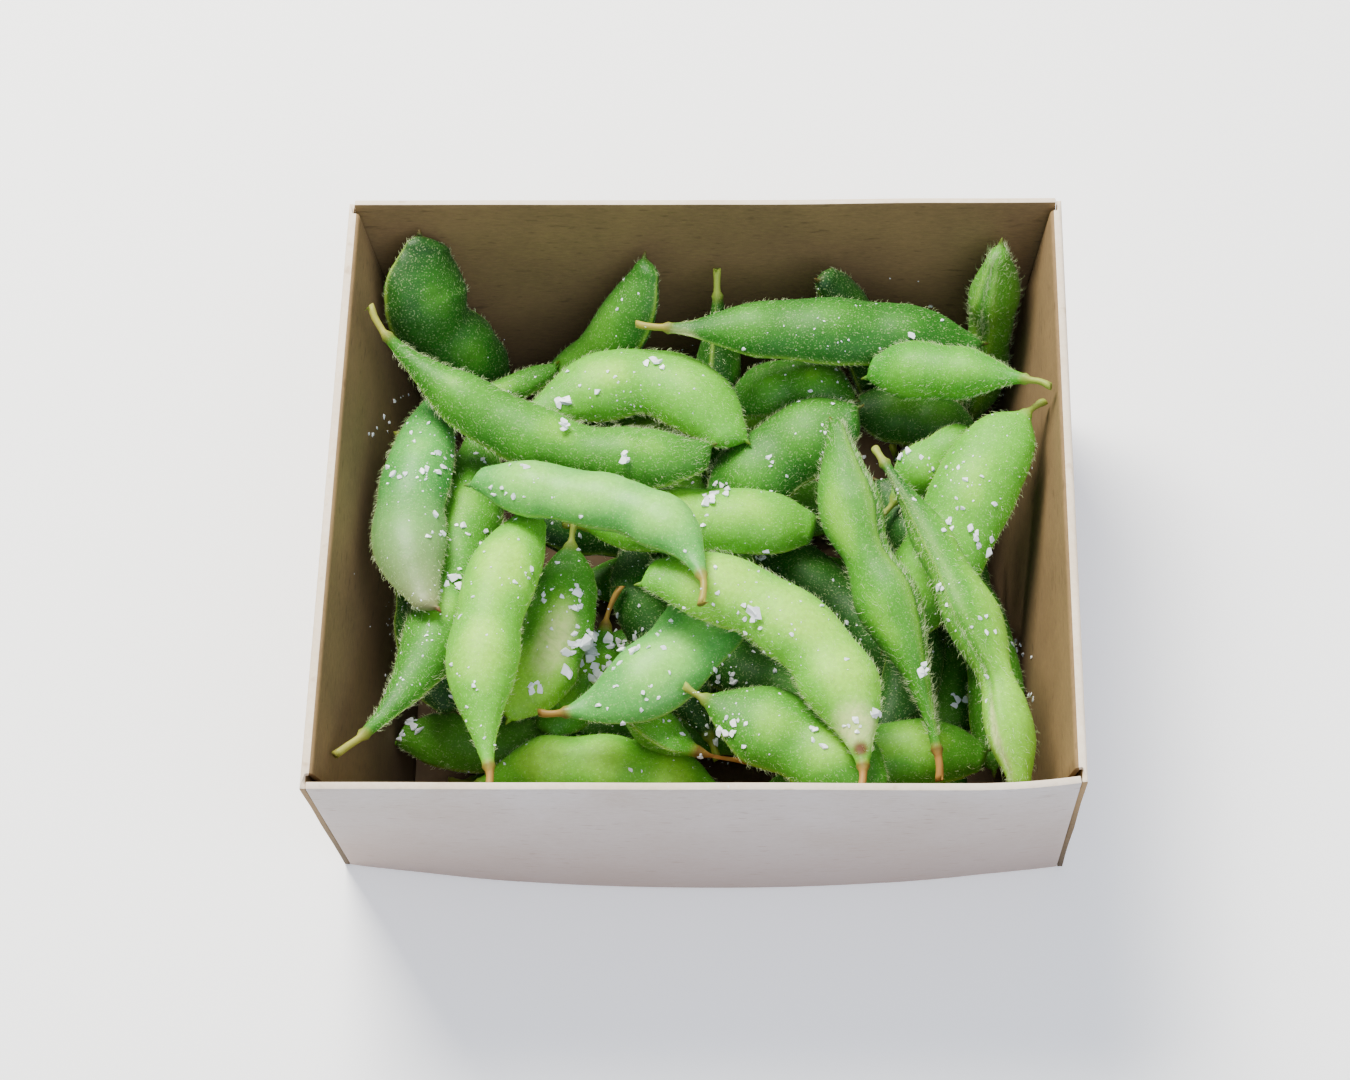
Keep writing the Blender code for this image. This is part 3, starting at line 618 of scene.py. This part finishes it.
# Pods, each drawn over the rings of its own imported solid

class Pod:
    """One pod: arrays of one column follow its length, and rows go round it."""

    def __init__(self, number):
        self.number = number
        self.node = f"pod_{number:02d}"
        self.look = LOOKS.get(number, Look())
        self.buried = number <= BURIED_PODS
        self.beans = 1 if number in ONE_BEAN else 3 if number in THREE_BEANS else 2
        self.follow_solid(BURIED_STEP if self.buried else SHELL_STEP)
        self.place_marks(BURIED_SIDES if self.buried else SHELL_SIDES)
        self.shape_skin()

    def follow_solid(self, step):
        """Closely spaced cross sections from the cut stalk to the tip, rounded off there, and the beak."""
        middles, wide, thin, tip = read_pod(self.node)
        middles = np.vstack([middles, tip])
        gaps = np.linalg.norm(np.diff(middles, axis=0), axis=1)
        knots = np.concatenate([[0], np.cumsum(gaps)])
        start, last, length = knots[1], knots[-2], knots[-1]
        stalk_at = np.linspace(0, start, STALK_RINGS, endpoint=False)
        shell_at = np.linspace(start, last, int((last - start) / step) + 2)
        nose_at = last + (length - last) * np.sin(np.linspace(0, pi / 2, NOSE_RINGS + 2)[1:-1])
        at = np.concatenate([stalk_at, shell_at, nose_at])
        middle = smooth_through(knots, middles, at)
        wide = smooth_through(knots[:-1], wide, np.minimum(at, last))
        thin = smooth_through(knots[:-1], thin, np.minimum(at, last))
        half_wide, half_thin = np.linalg.norm(wide, axis=1), np.linalg.norm(thin, axis=1)
        wide, thin = unit(wide), unit(thin)
        nose = ramp(at - last, length - last)
        closing = (1 - nose ** NOSE_POWERS[0]) ** NOSE_POWERS[1]
        beak_at = length + BEAK_LENGTH * BEAK_PLACES
        reach = beak_at - at[-1]
        lean = BEAK_LEAN * reach ** 2 / BEAK_LENGTH + TIP_DRIFT * half_wide[-1]
        beak = middle[-1] + unit(middle[-1:] - middle[-3:-2]) * reach[:, None] + wide[-1] * lean[:, None]
        middle = middle + wide * (TIP_DRIFT * half_wide * (1 - closing) * nose)[:, None]
        self.start, self.length = start, length
        self.at = np.concatenate([at, beak_at])[:, None]
        self.middle = np.vstack([middle, beak])
        self.wide, self.thin = (
            np.vstack([way, np.repeat(way[-1:], len(beak), axis=0)]) for way in (wide, thin))
        self.half_wide, self.half_thin = (
            np.concatenate([np.maximum(half * closing, BEAK_RADIUS), BEAK_RADIUS * BEAK_TAPER])[:, None]
            for half in (half_wide, half_thin))

    def place_marks(self, sides):
        """Where the pod has its beans, seams, groove and stalk, each from 0 to 1."""
        past_start = self.at - self.start
        self.along = ramp(past_start, self.length - self.start)
        self.on_shell = ramp(past_start, END_FADE) * ramp(self.length - self.at, END_FADE)
        self.in_stalk = ramp(-past_start, STALK_FADE)
        self.stalk_end = ramp(-past_start, self.start)
        swells = [bump(self.along - place, BEAN_REACH[self.beans]) for place in BEAN_PLACES[self.beans]]
        self.swell = np.clip(sum(swells), 0, 1)
        turn = np.arange(sides) * 2 * pi / sides
        self.angle = turn - SUTURE_CROWDING * np.sin(2 * turn) / 2
        self.off_seam = np.minimum(*(np.abs(turned_from(self.angle, seam)) for seam in (0.0, pi)))
        to_camera = np.array(CAMERA_PLACE) - self.middle.mean(axis=0)
        self.front = 0.0 if self.wide.mean(axis=0) @ to_camera > 0 else pi
        off_front = np.abs(turned_from(self.angle, self.front))
        self.channel = self.look.groove * bump(off_front, GROOVE_HALF_ANGLE)
        self.lips = self.look.groove * bump(off_front - LIP_ANGLE, GROOVE_HALF_ANGLE)
        self.grooved = ramp(self.along - self.look.groove_from, GROOVE_FADE) * self.on_shell

    def shape_skin(self):
        """Points of the skin by ring and side: ovals with waists, their relief, then the bent stalk."""
        thinning = 1 - (STALK_THINNING[0] + STALK_THINNING[1] * self.stalk_end) * self.in_stalk
        collar = COLLAR_HEIGHT * bump(self.at - self.start + COLLAR_PLACE, COLLAR_REACH)
        knob = KNOB_HEIGHT * bump(self.at - KNOB_REACH, KNOB_REACH)
        girth = 1 - WAIST_DEPTH * (1 - self.swell) * self.on_shell
        if self.look.girth:
            places, shares = np.array(self.look.girth).T
            girth = girth * smooth_through(places, shares[:, None], self.along[:, 0])
        half_wide = self.half_wide * thinning * girth + collar + knob
        half_thin = self.half_thin * thinning * (1 + girth) / 2 + collar + knob
        x, y = np.cos(self.angle), np.sin(self.angle)
        y_flat = np.sign(y) * np.abs(y) ** EDGE_SHARPNESS
        wide, thin = self.wide[:, None], self.thin[:, None]
        points = (self.middle[:, None] + wide * (half_wide * x)[..., None]
                  + thin * (half_thin * y_flat)[..., None])
        normals = wide * (half_thin * x)[..., None] + thin * (half_wide * y)[..., None]
        normals /= np.linalg.norm(normals, axis=2)[..., None]
        points = points + normals * self.relief(points)[..., None]
        wobble = STALK_WOBBLE * noise_at(points[:, :1], STALK_WOBBLE_LENGTH, self.number + STALK_SEED)
        bend = self.look.bend * MM * self.stalk_end ** 2
        points = points + wide * (wobble * self.in_stalk + bend)[..., None]
        points[..., 2] = np.clip(points[..., 2], CAD_BOX[0].z + BASE_TOP, SKIN_TOP)
        self.points = points

    def relief(self, points):
        """Height of the skin over its ovals: seams, the groove and its lips, beans and wrinkles."""
        x = np.cos(self.angle)
        crease = CREASE_SHARE * bump(self.off_seam, CREASE_HALF_ANGLE) * (x > 0)
        ridge = bump(self.off_seam, SEAM_HALF_ANGLE) - crease
        height = self.look.seam * SEAM_HEIGHT * ridge * self.on_shell
        height = height + (LIP_HEIGHT * self.lips - GROOVE_DEPTH * self.channel) * self.grooved
        height = height + BEAN_HEIGHT * (self.swell - BEAN_LEVEL) * bump(x, BEAN_BREADTH) * self.on_shell
        for spacing, depth, seed in (() if self.buried else WRINKLES):
            folds = noise_at(points, spacing, self.number + seed)
            height = height + depth * self.look.wrinkles * folds * self.on_shell
        return height

    def patches(self, places):
        """Ovals on the skin with soft edges, at (place along, angle around, length mm, breadth mm)."""
        total = 0.0
        for along, around, length, breadth in places:
            past = self.at - self.start - along * (self.length - self.start)
            beside = turned_from(self.angle, self.front + around) * self.half_thin
            total = total + np.exp(-np.hypot(past / (length * MM), beside / (breadth * MM)) ** 4)
        return total

    def fields(self):
        """What colours the skin, by the names of POD_FIELDS."""
        look, past_start = self.look, self.at - self.start
        bean = BEAN_LIGHT * self.swell * bump(np.cos(self.angle), BEAN_LIGHT_BREADTH)
        seam = bump(self.off_seam, SEAM_LINE_HALF_ANGLE) * (1 - min(1, look.groove))
        collar_scar = COLLAR_SCAR * look.dry * bump(past_start, 0.6 * MM)
        beak_scar = BEAK_SCAR * ramp(self.at - self.length + 0.4 * MM, BEAK_LENGTH)
        tip_scar = GREY_SCAR * look.grey_tip * ramp(self.along - GREY_SCAR_FROM, 1 - GREY_SCAR_FROM) ** 1.5
        return {
            # The bean field also carries each pod's light, which is partly painted light and shade
            "bean": WAIST_LIGHT + look.light + look.fade * (2 * self.along - 1) + bean,
            "seam": np.maximum(seam, LIP_LIGHT * self.lips) * self.on_shell,
            "channel": self.channel * self.grooved,
            "pale": np.clip(self.patches(look.pale), 0, 1),
            "dry": look.dry,
            "faded": look.grey_tip * ramp(self.along - GREY_FROM, 1 - GREY_FROM),
            "stalk": ramp(HUSK_PAST_START - past_start, HUSK_FADE),
            "scar": np.clip(collar_scar + beak_scar + tip_scar + self.patches(look.scars), 0, 1),
        }

    def build(self, skins):
        """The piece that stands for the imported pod, with the skin of the same slot."""
        slot = next(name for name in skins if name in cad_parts[self.node].data.materials[0].name)
        cut = self.middle[0] * (1 - CUT_HOLLOW) + self.middle[1] * CUT_HOLLOW
        beak = self.points[-1].mean(axis=0) + (self.middle[-1] - self.middle[-2]) * BEAK_POINT
        rings, sides = self.points.shape[:2]
        corners = list(self.points.reshape(-1, 3)) + [cut, beak]
        piece = new_piece(f"{self.node}_skin", corners, tube_faces(rings, sides), [skins[slot]])
        face_outwards(piece)
        piece.data.shade_smooth()
        fields = self.fields()
        for name in POD_FIELDS:
            values = np.broadcast_to(fields[name], (rings, sides))
            poles = [values[0].mean(), values[-1].mean()]
            made = piece.data.attributes.new(name, "FLOAT", "POINT")
            made.data.foreach_set("value", np.concatenate([values.ravel(), poles]).astype(np.float32))
        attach(piece, "root")
        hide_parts(self.node)
        self.piece = piece


def tube_faces(rings, sides):
    """Faces between rings of points and to the two poles that follow them, first and last."""
    faces = []
    for r in range(rings - 1):
        for k in range(sides):
            after = (k + 1) % sides
            faces.append((r * sides + k, r * sides + after, (r + 1) * sides + after, (r + 1) * sides + k))
    for k in range(sides):
        after = (k + 1) % sides
        faces.append((rings * sides, after, k))
        faces.append((rings * sides + 1, (rings - 1) * sides + k, (rings - 1) * sides + after))
    return faces


# Hairs

def hair_roots(pod, wanted, rng):
    """Places on a pod, with the directions out of it and along it; none on its underside."""
    grid = pod.points
    rings, sides = grid.shape[:2]
    bare_start, bare_end = BARE_ENDS
    shell = np.flatnonzero((pod.at - pod.start > bare_start) & (pod.at < pod.length - bare_end))
    r = rng.choice(shell, wanted)
    near_seam = rng.normal(rng.choice((0, sides // 2), wanted), SEAM_SPREAD).round().astype(int)
    k = np.where(rng.random(wanted) < SEAM_SHARE, near_seam, rng.integers(0, sides, wanted)) % sides
    beside = (k + 1) % sides
    after = np.minimum(r + 1, rings - 1)
    u, w = rng.random((2, wanted, 1))
    near = grid[r, k] * (1 - u) + grid[after, k] * u
    far = grid[r, beside] * (1 - u) + grid[after, beside] * u
    along = unit(grid[np.minimum(r + 2, rings - 1), k] - grid[r, k])
    normal = unit(np.cross(along, grid[r, beside] - grid[r, k - 1]))
    outward = grid[r, k] - grid.mean(axis=1)[r]
    normal = normal * np.sign((normal * outward).sum(axis=1))[:, None]
    seen = normal[:, 2] > UNDERSIDE
    return (near * (1 - w) + far * w)[seen], normal[seen], along[seen]


def hair_corners(base, normal, along, lengthening, rng):
    """Corners of each hair: a ring in the skin, a thinner one at its knee, and its point."""
    count = len(base)
    aim = normal * rng.uniform(*HAIR_RISE, (count, 1)) + along * rng.uniform(*HAIR_SWEEP, (count, 1))
    aim = unit(aim + rng.normal(0, HAIR_STRAY, (count, 3)))
    size = rng.uniform(*HAIR_LENGTH, (count, 1)) * lengthening
    side = unit(np.cross(aim, normal + 0.01))
    other = np.cross(aim, side)
    knee = base + aim * size * HAIR_KNEE
    corners = []
    for centre, radius in ((base - normal * HAIR_ROOT, 1.0), (knee, HAIR_KNEE_RADIUS)):
        for j in range(HAIR_SIDES):
            q = 2 * pi * j / HAIR_SIDES
            corners.append(centre + (side * cos(q) + other * sin(q)) * radius * HAIR_RADIUS)
    corners.append(base + (aim + along * HAIR_BEND) * size)
    return np.stack(corners, axis=1)


def hair_faces(start):
    """Faces of one hair whose first corner has the number start."""
    faces = []
    for j in range(HAIR_SIDES):
        after = (j + 1) % HAIR_SIDES
        knee, knee_after = start + HAIR_SIDES + j, start + HAIR_SIDES + after
        faces.append((start + j, start + after, knee_after, knee))
        faces.append((knee, knee_after, start + 2 * HAIR_SIDES))
    return faces + [(start + 2, start + 1, start)]


def build_hairs(name, pods, material, rng):
    hairs = []
    for pod in pods:
        wanted = int(HAIRS_PER_POD * pod.look.hairs)
        lengthening = 1 + HAIRY_GAIN * (pod.look.hairs - USUAL_HAIRS)
        hairs.append(hair_corners(*hair_roots(pod, wanted, rng), lengthening, rng))
    hairs = np.vstack(hairs)
    count, corners = hairs.shape[:2]
    points = hairs.reshape(-1, 3)
    points[:, 2] = np.minimum(points[:, 2], TRIM_TOP)
    faces = [face for start in range(0, count * corners, corners) for face in hair_faces(start)]
    piece = new_piece(name, points, faces, [material])
    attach(piece, "root")


# Box: one sheet for front, base and back, and a folded sheet for each hollow side

def wave(a, b, size, seed):
    """Slow unevenness of the board, from -size to size."""
    return size * noise.noise(Vector((a / BOARD_WAVE_LENGTH, b / BOARD_WAVE_LENGTH, seed)))


def front_face(x, z):
    foot = BASE_HALF_DEPTH + FRONT_BOW * (1 - (x / RIM_X) ** 2)
    set_back = EAR_REACH * max(0.0, (x - EAR_START) / (RIM_X - EAR_START)) ** 2
    return -(foot + (RIM_Y - set_back - foot) * z / WALL_HEIGHT)


def back_face(x, z):
    foot = BASE_HALF_DEPTH + BACK_BOW * (1 - (x / RIM_X) ** 2)
    return foot + (RIM_Y - foot) * z / WALL_HEIGHT


def outer_side(z):
    return RIM_X - SIDE_INSET * (1 - z / WALL_HEIGHT)


def inner_side(z):
    return INNER_SIDE_FOOT + (LEDGE_X - INNER_SIDE_FOOT) * (z - BASE_TOP) / (WALL_HEIGHT - BASE_TOP)


def board_sheet(name, grid, shape, thickness, materials):
    """A flat grid bent to shape(u, w), thickened towards its back and given soft edges."""
    columns, rows = grid
    bpy.ops.object.select_all(action="DESELECT")
    bpy.ops.mesh.primitive_grid_add(x_subdivisions=columns, y_subdivisions=rows, size=1, location=(0, 0, 0))
    sheet = bpy.context.object
    sheet.name = name
    for vertex in sheet.data.vertices:
        vertex.co = shape(vertex.co.x + 0.5, vertex.co.y + 0.5)
    for material in materials:
        sheet.data.materials.append(material)
    select_only(sheet)
    wall = sheet.modifiers.new("wall", "SOLIDIFY")
    wall.thickness = thickness
    wall.offset = -1
    wall.material_offset = INSIDE
    wall.material_offset_rim = CUT_EDGE
    bpy.ops.object.modifier_apply(modifier="wall")
    edge = sheet.modifiers.new("edge", "BEVEL")
    edge.width = CUT_EDGE_SOFTNESS
    edge.segments = 2
    edge.limit_method = "ANGLE"
    edge.angle_limit = radians(50)
    bpy.ops.object.modifier_apply(modifier="edge")
    return sheet


def path_point(corners, w, radius):
    """Point at share w along a path of straight runs whose corners are rounded."""
    corners = [np.array(corner) for corner in corners]
    runs = [np.linalg.norm(b - a) for a, b in zip(corners, corners[1:])]
    here = w * sum(runs)
    for k, run in enumerate(runs):
        if here <= run or k == len(runs) - 1:
            break
        here -= run
    point = corners[k] + (corners[k + 1] - corners[k]) * here / runs[k]
    for near, other, away in ((k, k - 1, here), (k + 1, k + 2, runs[k] - here)):
        if 0 < near < len(corners) - 1 and away < radius:
            corner = corners[near]
            pull = (corners[other] - corner) / np.linalg.norm(corners[other] - corner)
            back = (point - corner) / away if away > 1e-9 else -pull
            point = corner + (back * ((radius + away) / 2) ** 2 + pull * ((radius - away) / 2) ** 2) / radius
    return point


def tray_shape(u, w):
    """Front wall from its rim down, base, and back wall up to its rim; w runs from front to back."""
    half = RIM_X - SIDE_BOARD - CORNER_GAP
    x = half * (1 - 2 * u)
    top = WALL_HEIGHT + wave(x, 0.0 if w < 0.5 else BACK_WAVE_SHIFT, RIM_WAVE, 3.0)
    rim = min(top, WALL_HEIGHT)
    corners = ((front_face(x, rim), top), (front_face(x, 0.0), 0.0), (back_face(x, 0.0), 0.0),
               (back_face(x, rim), top))
    y, z = path_point(corners, w, FOLD_RADIUS)
    lower = 1 - SIDE_INSET / half * (1 - z / WALL_HEIGHT)
    return Vector((x * lower, y, z))


def side_shape(side):
    """Outer wall from the foot up, ledge, and lining down to the base."""
    outer_foot, lining_foot = SIDE_FEET
    corners = ((outer_side(0.0), outer_foot), (outer_side(WALL_HEIGHT), WALL_HEIGHT),
               (LEDGE_X, WALL_HEIGHT), (inner_side(BASE_TOP), lining_foot))

    def shape(u, w):
        w = w + LEDGE_CROWDING * sin(2 * pi * w)
        x, z = path_point(corners, w, SIDE_FOLD_RADIUS)
        inward = ramp(outer_side(z) - x, SIDE_FOLD_RADIUS)
        slot = CORNER_GAP + (FRONT_BOARD + CORNER_SLOT) * inward
        near, far = front_face(side * x, z) + slot, back_face(side * x, z) - slot
        y = near + (far - near) * (1 - u if side < 0 else u)
        dent = wave(y, z, SIDE_DENT, 11.0 + side) * min(1, (WALL_HEIGHT - z) / DENT_FADE)
        x = x + (dent if inward > 0.99 else -abs(dent) * 0.5)
        return Vector((side * x, y, z))
    return shape


def build_box(materials):
    tray = board_sheet("folded_board_box", TRAY_GRID, tray_shape, FRONT_BOARD, materials)
    parts = [tray]
    for side, label in ((-1, "left"), (1, "right")):
        sheet = board_sheet(f"{label}_hollow_side", SIDE_GRID, side_shape(side), SIDE_BOARD, materials)
        for face in sheet.data.polygons:
            x, z = abs(face.center.x), face.center.z
            on_outer = x > outer_side(z) - 0.25 * MM
            on_top = z > WALL_HEIGHT - 0.6 * MM and x > RIM_X - CREAM_BAND
            face.material_index = CUT_EDGE if on_top else OUTSIDE if on_outer else INSIDE
        parts.append(sheet)
    select_only(*parts)
    bpy.ops.object.join()
    tray.data.shade_smooth()
    select_only(tray)
    bpy.ops.object.shade_smooth_by_angle(angle=radians(40))
    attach(tray, "root")
    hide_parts("paper_box")
    return tray


# Salt

def build_shard(rng):
    """One broken crystal: a cube cut by slanting planes, as unit-sized points and faces."""
    bpy.ops.object.select_all(action="DESELECT")
    bpy.ops.mesh.primitive_cube_add(size=1, location=(0, 0, 0))
    shard = bpy.context.object
    bpy.ops.object.mode_set(mode="EDIT")
    for _ in range(SHARD_CUTS):
        aim = Vector(rng.normal(0, 1, 3)).normalized()
        aim.z *= 0.7
        depth = rng.uniform(*CUT_DEPTHS)
        bpy.ops.mesh.select_all(action="SELECT")
        bpy.ops.mesh.bisect(plane_co=aim * depth, plane_no=aim, use_fill=True, clear_outer=True)
    bpy.ops.mesh.select_all(action="SELECT")
    bpy.ops.mesh.normals_make_consistent(inside=False)
    bpy.ops.object.mode_set(mode="OBJECT")
    points = np.array([v.co for v in shard.data.vertices])
    faces = [tuple(face.vertices) for face in shard.data.polygons]
    bpy.data.objects.remove(shard, do_unlink=True)
    return points, faces


def photo_ray(column, row):
    """Start and direction of the sight line through a pixel of the photograph."""
    camera = bpy.context.scene.camera
    reach = CAMERA_SENSOR / PHOTO_WIDTH
    aim = Vector(((column - PHOTO_WIDTH / 2) * reach, (PHOTO_HEIGHT / 2 - row) * reach, -CAMERA_LENS))
    return camera.matrix_world.translation, (camera.matrix_world.to_3x3() @ aim).normalized()


def lay_shard(shards, place, normal, size, rng):
    """A copy of one crystal, flat side down on the surface at the place."""
    points, faces = shards[int(rng.integers(len(shards)))]
    scale = size * np.array([rng.uniform(0.7, 1.0), rng.uniform(0.55, 0.9), rng.uniform(0.16, 0.42)])
    upright = Vector(normal).to_track_quat("Z", "Y").to_matrix()
    spin = Matrix.Rotation(rng.uniform(0, 2 * pi), 3, "Z")
    tilt = Matrix.Rotation(rng.normal(0, 0.25), 3, "X")
    turn = np.array(upright @ spin @ tilt)
    return place + (points * scale) @ turn.T + np.array(normal) * scale[2] * 0.34, faces


def gather(shapes):
    """Points and faces of many small shapes as those of one mesh."""
    points = np.vstack([corners for corners, _ in shapes])
    firsts = np.cumsum([0] + [len(corners) for corners, _ in shapes]).tolist()
    faces = [tuple(first + k for k in face) for first, (_, sides) in zip(firsts, shapes) for face in sides]
    return points, faces


def build_salt(surfaces, material, rng):
    """Small grains where the photograph shows them, on what lies under its pixels, and the large flakes."""
    shards = [build_shard(rng) for _ in range(SHARD_KINDS)]
    trees = []
    for surface in surfaces:
        corners = [v.co for v in surface.data.vertices]
        trees.append(BVHTree.FromPolygons(corners, [tuple(f.vertices) for f in surface.data.polygons]))
    grains = []
    for column, row, count, spread, largest in SALT_SPOTS:
        stray = spread * SPREAD_SHARE
        for _ in range(count):
            origin, aim = photo_ray(column + rng.normal(0, stray), row + rng.normal(0, stray))
            hits = [tree.ray_cast(origin, aim) for tree in trees]
            hits = [hit for hit in hits if hit[0] is not None]
            if not hits:
                continue
            place, normal = min(hits, key=lambda hit: hit[3])[:2]
            size = GRAIN_GAIN * largest * MM * rng.uniform(*GRAIN_SIZES)
            outside = place.z + size > CAD_BOX[1].z or abs(place.y) > RIM_Y - size
            if normal.z >= STEEPEST and not outside:
                grains.append(lay_shard(shards, np.array(place), normal, size, rng))
    points, faces = gather(grains)
    points[:, 2] = np.minimum(points[:, 2], TRIM_TOP)
    piece = new_piece("salt_grains", points, faces, [material])
    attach(piece, "root")
    for number in range(1, FLAKE_COUNT + 1):
        build_clump(f"salt_flake_{number}", shards, material, rng)


def build_clump(node, shards, material, rng):
    """Large flake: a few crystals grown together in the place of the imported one."""
    low, high = (np.array(c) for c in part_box(node))
    largest = max(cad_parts[node].data.polygons, key=lambda face: face.area)
    normal = largest.normal if largest.normal.z > 0 else -largest.normal
    level = np.array(normal)
    centre, reach = (low + high) / 2, (high - low)[:2].max()
    crystals = []
    for k in range(FLAKE_CRYSTALS):
        offset = rng.normal(0, 0.16, 3) * reach
        offset -= level * (offset @ level)
        size = reach * (0.8 if k == 0 else rng.uniform(0.35, 0.6))
        crystals.append(lay_shard(shards, centre + offset - level * FLAKE_SINK, normal, size, rng))
    piece = new_piece(f"{node}_crystals", *gather(crystals), [material])
    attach(piece, "root")
    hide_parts(node)


# Studio

def place_camera():
    down, yaw, roll = radians(CAMERA_DOWN), radians(CAMERA_YAW), radians(CAMERA_ROLL)
    ahead = Vector((sin(yaw) * cos(down), cos(yaw) * cos(down), -sin(down)))
    level = Vector((cos(yaw), -sin(yaw), 0.0))
    over = level.cross(ahead)
    right = level * cos(roll) + over * sin(roll)
    up = over * cos(roll) - level * sin(roll)
    lens = bpy.data.cameras.new("camera")
    lens.lens = CAMERA_LENS
    lens.sensor_width = CAMERA_SENSOR
    lens.clip_start = 0.01
    camera = bpy.data.objects.new("camera", lens)
    bpy.context.scene.collection.objects.link(camera)
    camera.matrix_world = Matrix((right, up, -ahead)).transposed().to_4x4()
    camera.matrix_world.translation = Vector(CAMERA_PLACE)
    bpy.context.scene.camera = camera


def soft_light(name, place, size, power, colour):
    """Square softbox aimed at the middle of the box."""
    lamp = bpy.data.lights.new(name, "AREA")
    lamp.shape = "SQUARE"
    lamp.size = size
    lamp.energy = power
    lamp.color = linear(colour)[:3]
    light = bpy.data.objects.new(name, lamp)
    bpy.context.scene.collection.objects.link(light)
    light.location = place
    light.rotation_euler = (Vector(LIGHT_AIM) - Vector(place)).to_track_quat("-Z", "Y").to_euler()


def build_studio():
    bpy.ops.object.select_all(action="DESELECT")
    bpy.ops.mesh.primitive_plane_add(size=FLOOR_SIZE, location=(0, 0, 0))
    floor = bpy.context.object
    floor.name = "studio_floor"
    floor.data.materials.append(pale_studio_floor())
    for name, settings in SOFTBOXES.items():
        soft_light(name, *settings)
    world = bpy.data.worlds.new("studio")
    world.use_nodes = True
    sky = world.node_tree.nodes["Background"]
    sky.inputs["Color"].default_value = linear(SKY_COLOUR)
    sky.inputs["Strength"].default_value = SKY_STRENGTH
    bpy.context.scene.world = world


def dress_part():
    rng = np.random.default_rng(SEED)
    skins = {slot: green_pod_skin(f"{slot}_pod_skin", *finish) for slot, finish in POD_SKINS.items()}
    board = [kraft_board(f"kraft_board_{face}", *finish) for face, finish in BOARD_FACES.items()]
    pods = [Pod(number) for number in range(1, POD_COUNT + 1)]
    for pod in pods:
        pod.build(skins)
    box = build_box(board)
    hair = pod_down()
    build_hairs("lower_pod_hairs", pods[BURIED_PODS:UPPER_FROM - 1], hair, rng)
    build_hairs("upper_pod_hairs", pods[UPPER_FROM - 1:], hair, rng)
    build_salt([pod.piece for pod in pods] + [box], coarse_salt(), rng)


place_camera()
build_studio()
dress_part()
